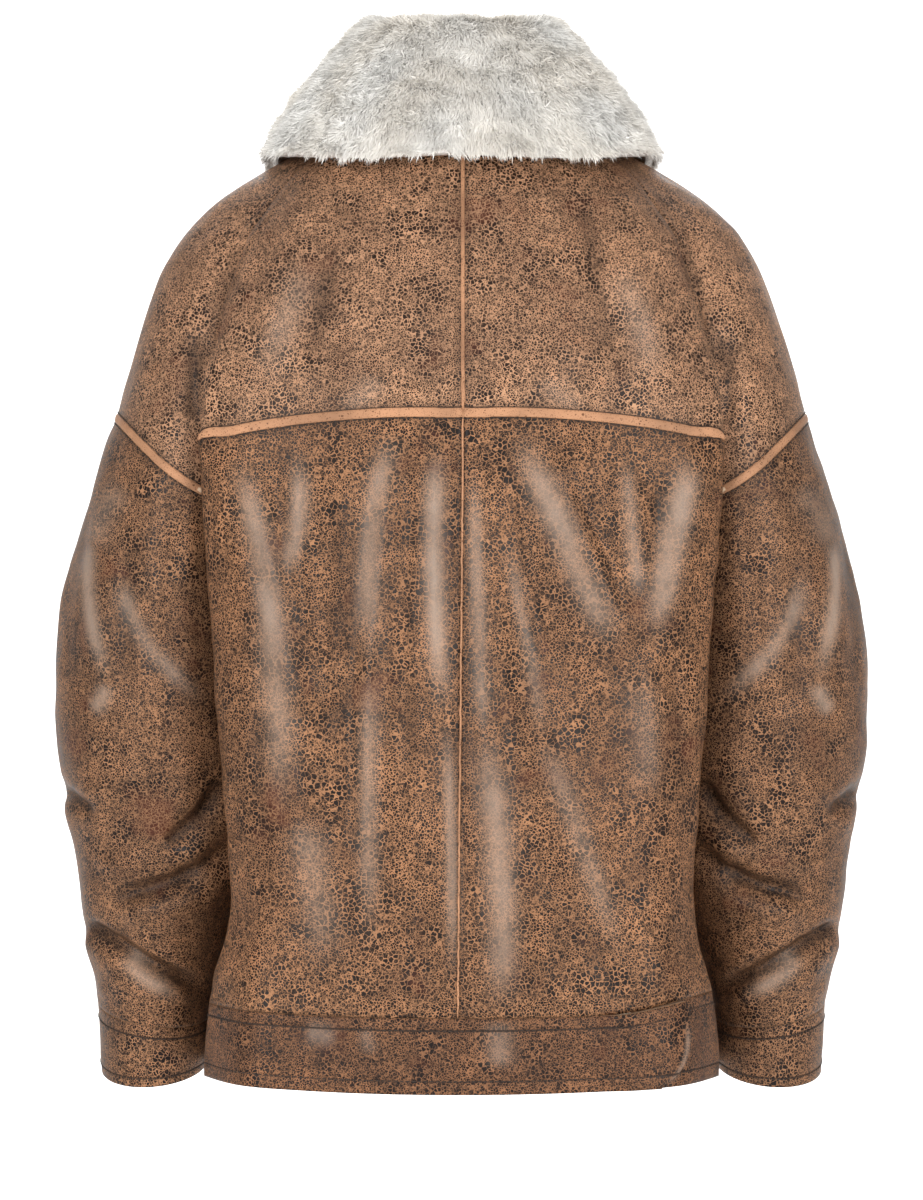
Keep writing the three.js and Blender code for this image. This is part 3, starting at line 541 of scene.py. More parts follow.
def seam_lines(side):
    """The seam and stitch lines of one side, as points in mm."""
    place, t = steps(0, YOKE_LINE_END, 320), steps(0, 1, 400)
    turned = steps(0, 360, 900)
    top = BACK_EDGE["upper"][0]
    centre = np.concatenate([
        shoulder_point(np.array([0.0]), top[None], t)[:, 0],
        lower_point(np.array([0.0]), top[None], False, 1, t)[1:, 0],
    ])
    lines = dict(
        yoke=drifted(seam_edge(place, False), side),
        armhole=ring_point(sleeve_at(0), turned),
        centre=drifted(centre, side),
    )
    cuff = sleeve_at(LAST_RING)
    for name, share in (("cuff_stitch", 0.2), ("cuff_hem", 0.86)):
        lines[name] = ring_point({k: mix(cuff[k], CUFF_HEM[k], share) for k in CUFF_HEM}, turned)
    return {k: v * (side, 1, 1) for k, v in lines.items()}


def band_line(down):
    """A line along the whole hem band."""
    out = []
    for side in (-1, 1):
        place = steps(16, 0, 900) if side < 0 else steps(0, 16, 900)[1:]
        z = band_height(foot_x(place) * side, down)
        out.append(drifted(body_point(place, z), side) * (side, 1, 1))
    return np.concatenate(out)


LINES = {1: seam_lines(1), -1: seam_lines(-1)}
BAND_LINES = [band_line(BAND_STITCH), band_line(HEM_STITCH)]


def distance(points, lines, cut=FAR):
    if not lines:
        return np.full(len(points), cut)
    dense = np.concatenate(lines)
    tree = KDTree(len(dense))
    for i, p in enumerate(dense):
        tree.insert(p, i)
    tree.balance()
    return np.array([min(cut, tree.find(p)[2]) for p in points])


def new_object(name, points, faces, materials, smooth_shaded=True):
    mesh = bpy.data.meshes.new(name)
    mesh.from_pydata([tuple(p) for p in np.asarray(points) * MM], [], [tuple(f) for f in faces])
    obj = bpy.data.objects.new(name, mesh)
    bpy.context.scene.collection.objects.link(obj)
    for m in materials:
        mesh.materials.append(m)
    mesh.polygons.foreach_set("use_smooth", [smooth_shaded] * len(mesh.polygons))
    return obj


def attribute(obj, name, values, kind="FLOAT", domain="POINT"):
    a = obj.data.attributes.new(name, kind, domain)
    a.data.foreach_set("value" if kind == "FLOAT" else "color", np.asarray(values, np.float32).ravel())


class Nodes:
    """A short way to write a material's nodes."""

    def __init__(self, name):
        self.material = bpy.data.materials.new(name)
        self.material.use_nodes = True
        self.tree = self.material.node_tree
        self.tree.nodes.clear()
        self.bsdf = self.add("ShaderNodeBsdfPrincipled")
        out = self.add("ShaderNodeOutputMaterial")
        self.tree.links.new(self.bsdf.outputs[0], out.inputs[0])

    def add(self, kind, inputs=None, **settings):
        node = self.tree.nodes.new(kind)
        for k, v in settings.items():
            setattr(node, k, v)
        for k, v in (inputs or {}).items():
            self.put(node.inputs[k], v)
        return node

    def put(self, socket, value):
        if isinstance(value, bpy.types.Node):
            value = value.outputs[0]
        if isinstance(value, bpy.types.NodeSocket):
            self.tree.links.new(value, socket)
        else:
            socket.default_value = value

    def math(self, operation, a, b, kind="ShaderNodeMath"):
        return self.add(kind, {0: a, 1: b}, operation=operation)

    def range(self, value, a, b, c=0.0, d=1.0, soft=True):
        return self.add(
            "ShaderNodeMapRange", {0: value, 1: a, 2: b, 3: c, 4: d},
            interpolation_type="SMOOTHSTEP" if soft else "LINEAR",
        )

    def blend(self, factor, a, b, kind="MIX"):
        node = self.add("ShaderNodeMix", data_type="RGBA", blend_type=kind)
        self.put(node.inputs[0], factor)
        self.put(node.inputs[6], a)
        self.put(node.inputs[7], b)
        return node.outputs[2]

    def noise(self, at, scale, detail=3.0, rough=0.5):
        inputs = {"Vector": at, "Scale": scale, "Detail": detail, "Roughness": rough}
        return self.add("ShaderNodeTexNoise", inputs)

    def place(self):
        return self.add("ShaderNodeTexCoord").outputs["Object"]

    def read(self, name, output="Fac"):
        return self.add("ShaderNodeAttribute", attribute_name=name).outputs[output]

    def finish(self, color, rough, height=None, distance=0.0006, strength=1.0, **sockets):
        self.put(self.bsdf.inputs["Base Color"], color)
        self.put(self.bsdf.inputs["Roughness"], rough)
        if height is not None:
            bump = self.add("ShaderNodeBump", {"Strength": strength, "Distance": distance, "Height": height})
            self.put(self.bsdf.inputs["Normal"], bump)
        for k, v in sockets.items():
            self.bsdf.inputs[k.replace("_", " ")].default_value = v
        return self.material


def rgb(r, g, b):
    """A colour given in 0 to 255 as seen, as Blender's linear one."""
    lin = [(c / 255) / 12.92 if c < 10.3 else ((c / 255 + 0.055) / 1.055) ** 2.4 for c in (r, g, b)]
    return (*lin, 1.0)


# Colours that break up the leather: rust in the cells, bare hide, soot, painted shade in the fold troughs, a
# painted highlight on the ridges, and dark seam lines with the painted shadow line at the tab's end.
RUST, BARE, SOOT, CREASE_SHADE = (92, 44, 26), (174, 118, 82), (66, 44, 32), (40, 27, 19)
HIGHLIGHT_PAINT, SEAM_AND_SHADOW_DARK = (164, 149, 136), (34, 23, 17)
# The smaller cells' size, as a share of the larger ones'.
SPECK = 0.62


def leather(name, cell_mm, dark, net, fill):
    """Dark irregular cells in a lighter network. Cell size, fill and tone change from place to place."""
    n = Nodes(name)
    at = n.place()
    warp = n.noise(at, 420.0, 2.0)
    moved = n.math("SUBTRACT", warp.outputs["Color"], (0.5, 0.5, 0.5), "ShaderNodeVectorMath")
    moved = n.add("ShaderNodeVectorMath", {0: moved, "Scale": 0.0022}, operation="SCALE")
    bent = n.math("ADD", at, moved, "ShaderNodeVectorMath")
    patch = n.noise(at, 20.0, 3.0, 0.6)
    wear = n.noise(at, 48.0, 4.0, 0.65)
    cloud = n.noise(at, 9.0, 2.0, 0.5)
    bodies, tones = [], []
    for size, shift in ((cell_mm, 0.0), (cell_mm * SPECK, 0.03)):
        scale = 1000.0 / size
        edge = n.add("ShaderNodeTexVoronoi", {"Vector": bent, "Scale": scale}, feature="DISTANCE_TO_EDGE")
        cell = n.add("ShaderNodeTexVoronoi", {"Vector": bent, "Scale": scale}, feature="F1")
        tone = n.add("ShaderNodeSeparateColor", {0: cell.outputs["Color"]})
        start = n.range(tone.outputs[1], 0.0, 1.0, fill + 0.045 + shift, fill + 0.17 + shift, False)
        low = n.math("SUBTRACT", start, 0.06)
        bodies.append(n.range(edge.outputs["Distance"], low, start).outputs[0])
        tones.append(tone.outputs[0])
    many = n.range(wear, 0.4, 0.58)
    body, tone = (n.blend(many, b[0], b[1]) for b in (bodies, tones))
    cell_color = n.blend(tone, rgb(*dark), rgb(*[c * 1.4 + 2 for c in dark]))
    cell_color = n.blend(n.range(patch, 0.56, 0.74, 0.0, 0.6), cell_color, rgb(*RUST))
    pale, deep = (rgb(*[min(250, c * share) for c in net]) for share in (1.06, 0.84))
    net_color = n.blend(n.range(patch, 0.3, 0.7), pale, deep)
    net_color = n.blend(n.range(wear, 0.55, 0.75, 0.0, 0.3), net_color, rgb(*BARE))
    # Painted highlight: along the streaks the colour is paled towards a grey highlight colour and the dark
    # cells are faded. The roughness is also lowered a little there, which is a real gloss.
    shine = n.math("MULTIPLY", n.read("painted_highlight_and_gloss"), n.range(wear, 0.35, 0.62, 0.78, 1.0))
    body = n.math("MULTIPLY", body, n.range(shine, 0.1, 0.9, 1.0, 0.5))
    color = n.blend(body, net_color, cell_color)
    color = n.blend(n.range(cloud, 0.42, 0.66, 0.0, 0.14), color, rgb(*SOOT))
    # Painted shade: the troughs of the folds, where lift is low, are darkened.
    color = n.blend(n.range(n.read("lift"), -0.9, -0.15, 0.55, 0.0), color, rgb(*CREASE_SHADE))
    color = n.blend(n.range(shine, 0.0, 1.0, 0.0, 0.62, False), color, rgb(*HIGHLIGHT_PAINT))
    # Dark lines at the welts' feet and along stitch lines, and a soft darkening that fades out 7 mm from
    # each welt. On the right front band, the line along the tab's end is painted shadow.
    welt = n.read("welt")
    line = n.range(welt, 0.4, 1.7, 1.0, 0.0)
    near = n.range(welt, 0.5, 7.0, 0.35, 0.0)
    stitch = n.read("stitch")
    thin = n.range(stitch, 0.35, 1.5, 1.0, 0.0)
    dark_line = n.math("MAXIMUM", n.math("MAXIMUM", line, thin), near)
    color = n.blend(n.math("MULTIPLY", dark_line, 0.86), color, rgb(*SEAM_AND_SHADOW_DARK))
    height = n.math("SUBTRACT", body, n.math("MULTIPLY", n.range(stitch, 0.2, 2.4, 1.0, 0.0), 1.4))
    rough = n.math("SUBTRACT", n.range(body, 0.0, 1.0, 0.56, 0.42), n.math("MULTIPLY", shine, 0.1))
    return n.finish(color, rough, height, 0.00025, 0.7, Specular_IOR_Level=0.2)


def plain(name, color, rough, metal=0.0, bump_scale=300.0, bump=0.0003):
    n = Nodes(name)
    at = n.place()
    grain = n.noise(at, bump_scale, 3.0)
    shade = n.blend(n.range(grain, 0.3, 0.7, 0.0, 1.0), rgb(*[c * 0.82 for c in color]), rgb(*color))
    return n.finish(shade, rough, grain.outputs["Fac"], bump, 0.6, Metallic=metal)


def wool(name):
    n = Nodes(name)
    at = n.place()
    curl = n.noise(at, 380.0, 4.0, 0.65)
    tone = n.noise(at, 60.0, 2.0)
    color = n.blend(n.range(curl, 0.3, 0.7), rgb(176, 166, 150), rgb(226, 219, 205))
    color = n.blend(n.range(tone, 0.4, 0.7, 0.0, 0.35), color, rgb(206, 192, 168))
    return n.finish(color, 0.95, curl.outputs["Fac"], 0.002, 1.0, Sheen_Weight=0.3, Specular_IOR_Level=0.2)


def fur(name):
    n = Nodes(name)
    tint = n.read("tint", "Color")
    return n.finish(tint, 0.82, Sheen_Weight=0.4, Sheen_Roughness=0.6, Specular_IOR_Level=0.2)


LEATHER_BACK = leather("crackled_leather", 3.3, (19, 11, 7), (160, 114, 80), 0.0)
LEATHER_FINE = leather("fine_leather", 2.8, (28, 17, 11), (184, 139, 106), 0.01)
LEATHER_SLEEVE = leather("sleeve_leather", 2.9, (19, 11, 8), (156, 113, 81), 0.0)
LEATHER_BAND = leather("band_leather", 2.9, (19, 11, 8), (136, 94, 65), 0.0)
WELT = leather("welt_leather", 1.8, (84, 56, 38), (182, 134, 100), 0.2)
NUB = plain("welt_end", (206, 174, 142), 0.6)
THREAD = plain("thread", (52, 38, 28), 0.7, bump_scale=2000.0)
RIM = plain("raw_edge", (150, 118, 90), 0.8, bump_scale=900.0)
UNDER = plain("collar_under", (142, 108, 80), 0.7, bump_scale=500.0)
TAPE = plain("zip_tape", (52, 40, 32), 0.85, bump_scale=1400.0)
BRASS = plain("aged_brass", (148, 128, 96), 0.34, 1.0, 250.0, 0.0001)
FUR_BASE = plain("fur_base", (246, 242, 236), 0.95, bump_scale=420.0, bump=0.0008)
WOOL, FUR = wool("wool_pile"), fur("collar_fur")


def upper_rows(edge):
    return shoulder_point(edge["turn"], edge["upper"], steps(0, 1, FINE["shoulder"]))


def lower_rows(edge, front, side, fine):
    return lower_point(edge["place"], edge["lower"], front, side, steps(0, 1, fine))


def panel_sheets():
    """Every leather panel as (name, sheet, wall, material, lines for welts, lines for stitches and for the
    painted shadow at the tab's end).
    """
    out = []
    for side, word in SIDES:
        own = LINES[side]
        yoke = Sheet([drifted(upper_rows(BACK_EDGE), side)], side)
        back = Sheet([drifted(lower_rows(BACK_EDGE, False, side, FINE["back"]), side)], side)
        low = lower_rows(FRONT_EDGE, True, side, FINE["front"])
        front = Sheet([upper_rows(FRONT_EDGE)[:, ::-1], low[:, ::-1]], side)
        rings = sleeve_at(LAST_RING * steps(0, 1, FINE["sleeve"]) ** 0.9)
        rings = {k: v[:, None] for k, v in rings.items()}
        sleeve = Sheet([ring_point(rings, ANGLES[None])[:, ::-1]], side)
        top, t = sleeve_at(LAST_RING), steps(0, 1, FINE["cuff"])[:, None]
        rings = {k: mix(top[k], CUFF_HEM[k], t) for k in CUFF_HEM}
        cuff = Sheet([ring_point(rings, ANGLES[None])[:, ::-1]], side)
        arm = {"armhole": ARM_WELT}
        back_welts = {"yoke": YOKE_WELT, **arm}
        # On the right, the tab's painted shadow line is added to the band's stitch lines.
        band_lines = BAND_LINES + [tab_shadow()] * (side > 0)
        out += [
            (f"back_yoke_{word}", yoke, WALL, LEATHER_FINE, {**back_welts, "centre": 1.5}, []),
            (f"back_{word}", back, WALL, LEATHER_BACK, {**back_welts, "centre": 1.0}, []),
            (f"front_{word}", front, WALL, LEATHER_FINE, arm, []),
            (f"sleeve_{word}", sleeve, WALL, LEATHER_SLEEVE, arm, []),
            (f"cuff_{word}", cuff, WALL, LEATHER_SLEEVE, {}, [own["cuff_stitch"], own["cuff_hem"]]),
            (f"waistband_front_{word}", band_front(side), BAND_WALL, LEATHER_BAND, {}, band_lines),
        ]
    lines = BAND_LINES + [tab_line(BAND_STITCH), tab_line(HEM_STITCH)]
    out.append(("waistband_back", band_back(), BAND_WALL, LEATHER_BAND, {}, lines))
    return out


def tab_back(t):
    """How far the tab's end is drawn back at each share of the band's height, from 0 to about 1."""
    low = 1 - np.sqrt(1 - 0.97 * np.clip((t - 0.25) / 0.7, 0, 1) ** 2)
    return np.where(t < 0.25, 0.9 * (0.25 - t) ** 2, low)


def tab_height(place):
    return TAB_LIFT * smooth((place - TAB_RISE[0]) / (TAB_RISE[1] - TAB_RISE[0]))


def tab_shadow():
    """The dark line on the band beneath, just outside the tab's end."""
    t = steps(0.1, 1, 240)
    place = TAB_END + mix(0.18, 0.08, t) - TAB_ROUND * tab_back(t)
    x = foot_x(place)
    return body_point(place, mix(band_top(x), band_foot(x), t))


def lifted(place, z, side, up):
    """Points of the hem band on one side, moved level outward by up."""
    p = drifted(body_point(place, z), side)
    out = unit(drifted(body_point(np.minimum(place + 0.02, 16), z), side) - p)
    p = np.where((place > ZIP_PLACE)[..., None], stack(ZIP_HALF, p[..., 1], p[..., 2]), p)
    return stack(side * (p[..., 0] + up * out[..., 1]), p[..., 1] - up * out[..., 0], p[..., 2])


def tab_line(down):
    """A line along the raised tab."""
    place = steps(TAB_RISE[0], TAB_END, 500)
    return lifted(place, band_height(foot_x(place), down), 1, tab_height(place))


def band_rows(places, side, moved=0.0, lift=0.0):
    t = steps(0, 1, FINE["band"])[:, None]
    place = places[None] + moved + 0 * t
    x = foot_x(place) * side
    return lifted(place, mix(band_top(x), band_foot(x), t), side, lift + 0 * x)


BACK_PLACES, FRONT_PLACES = (
    np.unique(np.round(p, 6)) for p in (BACK_EDGE["place"], 16 - FRONT_EDGE["place"])
)


def band_back():
    left = band_rows(BACK_PLACES, -1)[:, ::-1]
    right = np.concatenate([BACK_PLACES[BACK_PLACES < TAB_RISE[0]], steps(TAB_RISE[0], TAB_END, 48)])
    back = tab_back(steps(0, 1, FINE["band"])[:, None])
    end = 30
    share = np.clip((np.arange(len(right)) - len(right) + 1 + end) / end, 0, 1)
    return Sheet([left, band_rows(right, 1, -TAB_ROUND * share * back, tab_height(right))])


def band_front(side):
    places = FRONT_PLACES
    if side > 0:
        under = BACK_PLACES[BACK_PLACES > TAB_UNDER + 0.1]
        places = np.concatenate([[TAB_UNDER], under, places[places > 8]])
    rows = band_rows(places, side)
    return Sheet([rows if side > 0 else rows[:, ::-1]])


def relief(name, sheet):
    """Height in mm of folds and unevenness at each point of a panel."""
    p = sheet.points
    _, y, z = p.T
    h = 0.9 * waves(p, 70, 3) + 0.35 * waves(p, 24, 5)
    if name.startswith("back_") and "yoke" not in name:
        fade = smooth((-240 - z) / 30) * smooth((z + 655) / 25) * smooth((-70 - y) / 30)
        h += ridges(p, BACK_RIDGES) * fade + ridges(p, BACK_FINE) * fade
    elif "yoke" in name:
        h += ridges(p, own_side(YOKE_FINE, name)) * smooth((-10 - y) / 40)
    elif name.startswith("front"):
        h += ridges(p, own_side(FRONT_FINE, name)) * smooth((y - 20) / 40)
    elif name.startswith("sleeve"):
        h += sleeve_rolls(p)
        shifted, fade = on_sleeve(p, SLEEVE_SHIFT)
        h += ridges(shifted, SLEEVE_FINE) * (fade * smooth((z + 672) / 16))
    else:
        h *= 0.5
    return h


def painted_highlight_and_gloss(name, sheet):
    """How strongly each point of a panel gets the painted highlight and a little lower roughness, from 0 to
    1.
    """
    p = sheet.points
    y = p[:, 1]
    rows, fade = BACK_SHINE, smooth((-60 - y) / 30)
    if name.startswith(("sleeve", "cuff")):
        rows = SLEEVE_SHINE
        p, fade = on_sleeve(p, SLEEVE_SHIFT)
    elif name.startswith("waistband"):
        rows = BAND_SHINE
    elif name.startswith("front"):
        rows = [(*r[:7], 0.5) for r in own_side(FRONT_FINE, name) if r[7] > 0]
        fade = smooth((y - 20) / 40)
    elif "yoke" in name:
        rows, fade = own_side(YOKE_SHINE, name), smooth((-10 - y) / 40)
    shine = np.zeros(len(p))
    for row in rows:
        off, along, _ = near_line(p, row)
        shine = np.maximum(shine, row[7] * taper(along, 0.3) * np.exp(-((off / row[6]) ** 2)))
    return shine * fade * np.clip(0.95 + 0.16 * waves(sheet.points, 48, 11), 0.6, 1.12)


def walls(sheets):
    """Turns the sheets into closed shells that share the direction of their common edges."""
    keys = np.concatenate([np.round(s.points * 50).astype(int) for _, s, *_ in sheets])
    _, back = np.unique(keys, axis=0, return_inverse=True)
    back = back.reshape(-1)
    normals = np.concatenate([s.normals() for _, s, *_ in sheets])
    sums = np.zeros((back.max() + 1, 3))
    np.add.at(sums, back, normals)
    shared, start, made = unit(sums)[back], 0, {}
    for name, sheet, wall, material, welts, stitches in sheets:
        n = shared[start : start + len(sheet.points)]
        start += len(sheet.points)
        border = sheet.border()
        inside = np.ones(len(sheet.points), bool)
        inside[border.ravel()] = False
        rim_distance = distance(sheet.points, [sheet.points[border[:, 0]]], 30.0)
        height = relief(name, sheet) * smooth(rim_distance / 14)
        outer = sheet.points + n * (height * inside)[:, None]
        pull = np.zeros_like(outer)
        along = unit(outer[border[:, 1]] - outer[border[:, 0]])
        for k in (0, 1):
            np.add.at(pull, border[:, k], unit(np.cross(n[border[:, k]], along)))
        size = (pull**2).sum(1, keepdims=True) / 2
        outer = outer + pull * SEAM_GAP / 2 / np.maximum(0.2, size)
        inner = outer - n * wall
        count = len(outer)
        rim = np.stack([border[:, 1], border[:, 0], border[:, 0] + count, border[:, 1] + count], 1)
        faces = np.concatenate([sheet.faces, sheet.faces[:, ::-1] + count, rim])
        obj = new_object(f"{name}_skin", np.concatenate([outer, inner]), faces, [material, WOOL, RIM])
        kinds = np.repeat([0, 1, 2], [len(sheet.faces), len(sheet.faces), len(rim)])
        obj.data.polygons.foreach_set("material_index", kinds.astype(np.int32))
        # The fold height. The leather material paints shade into the troughs from it.
        attribute(obj, "lift", np.tile(np.clip(height / 4, -1, 1), 2))
        # The strength of the painted highlight, which the leather material reads.
        attribute(obj, "painted_highlight_and_gloss", np.tile(painted_highlight_and_gloss(name, sheet), 2))
        own = LINES[-1 if name.endswith("left") else 1]
        feet = [np.abs(distance(sheet.points, [own[k]]) - half) for k, half in welts.items()]
        attribute(obj, "welt", np.tile(np.min(feet + [np.full(len(outer), FAR)], axis=0), 2))
        attribute(obj, "stitch", np.tile(distance(sheet.points, stitches), 2))
        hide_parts(name)
        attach(obj, "jacket")
        made[name] = obj
    return made


SKINS = walls(panel_sheets())


def resampled(line, gap):
    length = np.concatenate([[0], np.cumsum(np.linalg.norm(np.diff(line, axis=0), axis=1))])
    at = np.linspace(0, length[-1], max(2, int(length[-1] / gap)) + 1)
    return np.stack([np.interp(at, length, line[:, k]) for k in range(3)], axis=1)


def surface_tree(names):
    verts, faces, start = [], [], 0
    for name in names:
        mesh = SKINS[name].data
        v = np.empty(len(mesh.vertices) * 3)
        mesh.vertices.foreach_get("co", v)
        verts.append(v.reshape(-1, 3) / MM)
        faces += [tuple(i + start for i in p.vertices) for p in mesh.polygons if p.material_index == 0]
        start += len(mesh.vertices)
    return BVHTree.FromPolygons([tuple(p) for p in np.concatenate(verts)], faces)


def on_surface(line, tree):
    """Points of a line laid on the cloth, with the cloth's outward directions, smoothed along the line."""
    found = [tree.find_nearest(tuple(p)) for p in line]
    normals = np.array([tuple(f[1]) for f in found])
    for _ in range(3):
        normals[1:-1] = unit(normals[:-2] + 2 * normals[1:-1] + normals[2:])
    return np.array([tuple(f[0]) for f in found]), normals


def frames(line, tree):
    p, n = on_surface(line, tree)
    along = unit(np.gradient(p, axis=0))
    across = unit(np.cross(n, along))
    return p, unit(np.cross(along, across)), along, across


def strip(line, tree, half, rise, ends=4, first=True):
    """A raised strip over a seam: a soft-topped bar on the cloth, narrowed over its last points."""
    p, n, _, across = frames(resampled(line, 3.0), tree)
    a = np.linspace(0, math.pi, 9)
    u, v = -np.cos(a), np.sin(a) ** 0.6
    count = len(p)
    last = np.arange(count)[::-1]
    near = np.minimum(np.arange(count), last) if first else last
    close = np.minimum(1, (near + 0.4) / ends) ** 0.5
    top = p[:, None] + across[:, None] * (u[None] * half * close[:, None])[..., None]
    top = top + n[:, None] * (v[None] * rise - 0.2)[..., None]
    low = [p + across * (s * half * close)[:, None] - n * 0.9 for s in (1, -1)]
    ring = np.concatenate([top, low[0][:, None], low[1][:, None]], axis=1)
    r = ring.shape[1]
    ids = np.arange(count * r).reshape(count, r)
    nxt = np.roll(ids, -1, axis=1)
    faces = quads(ids[:-1], nxt[:-1], nxt[1:], ids[1:]).tolist()
    faces += [ids[0][::-1].tolist(), ids[-1].tolist()]
    return ring.reshape(-1, 3), faces


def join(parts):
    points, faces, start = [], [], 0
    for p, f in parts:
        points.append(p)
        faces += [[i + start for i in face] for face in f]
        start += len(p)
    return np.concatenate(points), faces


def add_piece(name, parts, material, shade=True):
    points, faces = join(parts)
    obj = new_object(name, points, faces, [material], shade)
    if material is WELT:
        for key in ("welt", "stitch"):
            attribute(obj, key, np.full(len(points), FAR))
    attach(obj, "jacket")
    return obj


STITCH_PITCH, STITCH_LENGTH, THREAD_RADIUS = 4.3, 3.1, 0.42


def stitches(line, tree, off=0.0):
    """Thread stitches beside a line, each a small rounded bar sunk at its ends."""
    p, n, along, across = frames(resampled(line, STITCH_PITCH), tree)
    p = p + across * off
    found = [tree.find_nearest(tuple(q)) for q in p]
    p = np.array([tuple(f[0]) for f in found])
    rings, sides = [(-0.5, 0.35, -0.3), (-0.36, 1.0, 0.22), (0.36, 1.0, 0.22), (0.5, 0.35, -0.3)], 6
    a = np.arange(sides) * 2 * math.pi / sides
    parts = []
    for shift, size, up in rings:
        centre = p + along * (shift * STITCH_LENGTH) + n * up
        parts.append(
            centre[:, None]
            + across[:, None] * (np.cos(a) * THREAD_RADIUS * size)[None, :, None]
            + n[:, None] * (np.sin(a) * THREAD_RADIUS * size)[None, :, None]
        )
    points = np.stack(parts, axis=1)
    count = len(p)
    ids = np.arange(count * 4 * sides).reshape(count, 4, sides)
    nxt = np.roll(ids, -1, axis=2)
    faces = quads(ids[:, :-1], nxt[:, :-1], nxt[:, 1:], ids[:, 1:]).tolist()
    faces += ids[:, 0, ::-1].tolist() + ids[:, 3].tolist()
    return points.reshape(-1, 3), faces


WELT_RISE = 1.3
# How far the stitches lie from the middle of each welt.
ARM_STITCH, YOKE_STITCH = 4.1, 4.4
# Which of the armhole line's points the pale end of its welt covers.
NUB_SPAN = slice(255, 270)
for side, word in SIDES:
    own = LINES[side]
    tree = surface_tree([f"{n}_{word}" for n in ("back_yoke", "back", "front", "sleeve")])
    yoke_strip = strip(own["yoke"], tree, YOKE_WELT, WELT_RISE, first=False)
    add_piece(f"welt_yoke_{word}", [yoke_strip], WELT)
    add_piece(f"welt_armhole_{word}", [strip(own["armhole"], tree, ARM_WELT, WELT_RISE)], WELT)
    nub = strip(own["armhole"][NUB_SPAN], tree, 2.1, 2.5, ends=1)
    add_piece(f"welt_end_{word}", [nub], NUB)
    rows = [stitches(own["armhole"], tree, o) for o in (-ARM_STITCH, ARM_STITCH)]
    rows.append(stitches(own["yoke"], tree, -YOKE_STITCH * side))
    add_piece(f"stitches_body_{word}", rows, THREAD)
    tree = surface_tree([f"cuff_{word}"])
    rows = [stitches(own[k], tree) for k in ("cuff_stitch", "cuff_hem")]
    add_piece(f"stitches_cuff_{word}", rows, THREAD)

both = surface_tree([f"{n}_{w}" for n in ("back_yoke", "back") for w in ("left", "right")])
centre_line = LINES[1]["centre"]
half_way = len(centre_line) // 2
centre = [strip(centre_line[: half_way + 1], both, 1.4, 0.9), strip(centre_line[half_way:], both, 0.75, 0.7)]
add_piece("welt_centre", centre, WELT)
band_tree = surface_tree(["waistband_back", "waistband_front_left", "waistband_front_right"])
add_piece("stitches_band", [stitches(line, band_tree) for line in BAND_LINES], THREAD)

ARCH_STEPS = FINE["collar_across"]


def collar_arch(turn):
    """The collar's outside line at each turn, as offsets out and heights, with directions along it."""
    c, w = collar_at(turn), COLLAR_WALL
    lean, top = c["lean"], c["top"]
    out_end, low_end = c["fallOut"], c["fallHeight"]
    arch = [
        (0 * lean - w, 0 * lean + 0.45), (0.4 * lean - w - 1, 0.38 * top), (0.9 * lean - w - 1, 0.74 * top),
        (lean - 0.5 * w, 0.96 * top), (lean + 0.35 * w, top), (lean + 1.25 * w, 0.88 * top),
        (mix(lean + 1.25 * w, out_end, 0.36) + c["bulge"], mix(0.88 * top, low_end, 0.34)),
        (mix(lean + 1.25 * w, out_end, 0.7) + c["bulge"], mix(0.88 * top, low_end, 0.67)),
        (out_end, low_end),
    ]
    p = np.stack([stack(*a) for a in arch])
    p = np.concatenate([(2 * p[0] - p[1])[None], p, (2 * p[-1] - p[-2])[None]])
    rows = []
    for t in np.linspace(0, 8, ARCH_STEPS + 1):
        i = min(7, int(t))
        t = t - i
        a, b, e, d = p[i : i + 4]
        d0, d1, d2 = (np.linalg.norm(v - u, axis=-1)[..., None] ** 0.5 for u, v in ((a, b), (b, e), (e, d)))
        t1 = ((b - a) / d0 - (e - a) / (d0 + d1) + (e - b) / d1) * d1
        t2 = ((e - b) / d1 - (d - b) / (d1 + d2) + (d - e) / d2) * d1
        square, cube = -3 * b + 3 * e - 2 * t1 - t2, 2 * b - 2 * e + t1 + t2
        rows.append(b + t1 * t + square * t**2 + cube * t**3)
    return np.stack(rows, axis=1)


def collar_grid(side, inset):
    """Rows by turn, columns along the arch, moved inward along the section's normal."""
    turns = steps(0, COLLAR_END, FINE["collar_round"])
    path = collar_arch(turns)
    tangent = unit(np.gradient(path, axis=1))
    moved = path - stack(-tangent[..., 1], tangent[..., 0]) * inset
    s = shoulder_at(turns)
    out = np.radians(s["heading"])[:, None]
    x = s["neckX"][:, None] + moved[..., 0] * np.sin(out)
    y = s["neckY"][:, None] - moved[..., 0] * np.cos(out)
    z = s["neckZ"][:, None] + moved[..., 1]
    x[0] = np.maximum(x[0], 0.17)
    return stack(side * x, y, z)


def collar_body(side, word):
    outer = collar_grid(side, FUR_ROOT)
    inner = collar_grid(side, COLLAR_WALL - 1.5)
    n = outer.shape[0] * outer.shape[1]
    ids = np.arange(n).reshape(outer.shape[:2])
    cells = quads(ids[:-1, :-1], ids[:-1, 1:], ids[1:, 1:], ids[1:, :-1])
    edge = np.concatenate([ids[0, :-1], ids[:-1, -1], ids[-1, ::-1][:-1], ids[::-1, 0][:-1]])
    nxt = np.roll(edge, -1)
    faces = np.concatenate([cells, cells[:, ::-1] + n, quads(nxt, edge, edge + n, nxt + n)])
    if side < 0:
        faces = faces[:, ::-1]
    points = np.concatenate([outer.reshape(-1, 3), inner.reshape(-1, 3)])
    obj = new_object(f"collar_{word}_skin", points, faces, [FUR_BASE, UNDER])
    kinds = np.repeat([0, 1, 0], [len(cells), len(cells), len(edge)])
    obj.data.polygons.foreach_set("material_index", kinds.astype(np.int32))
    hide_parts(f"collar_{word}")
    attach(obj, "jacket")
    return obj, outer


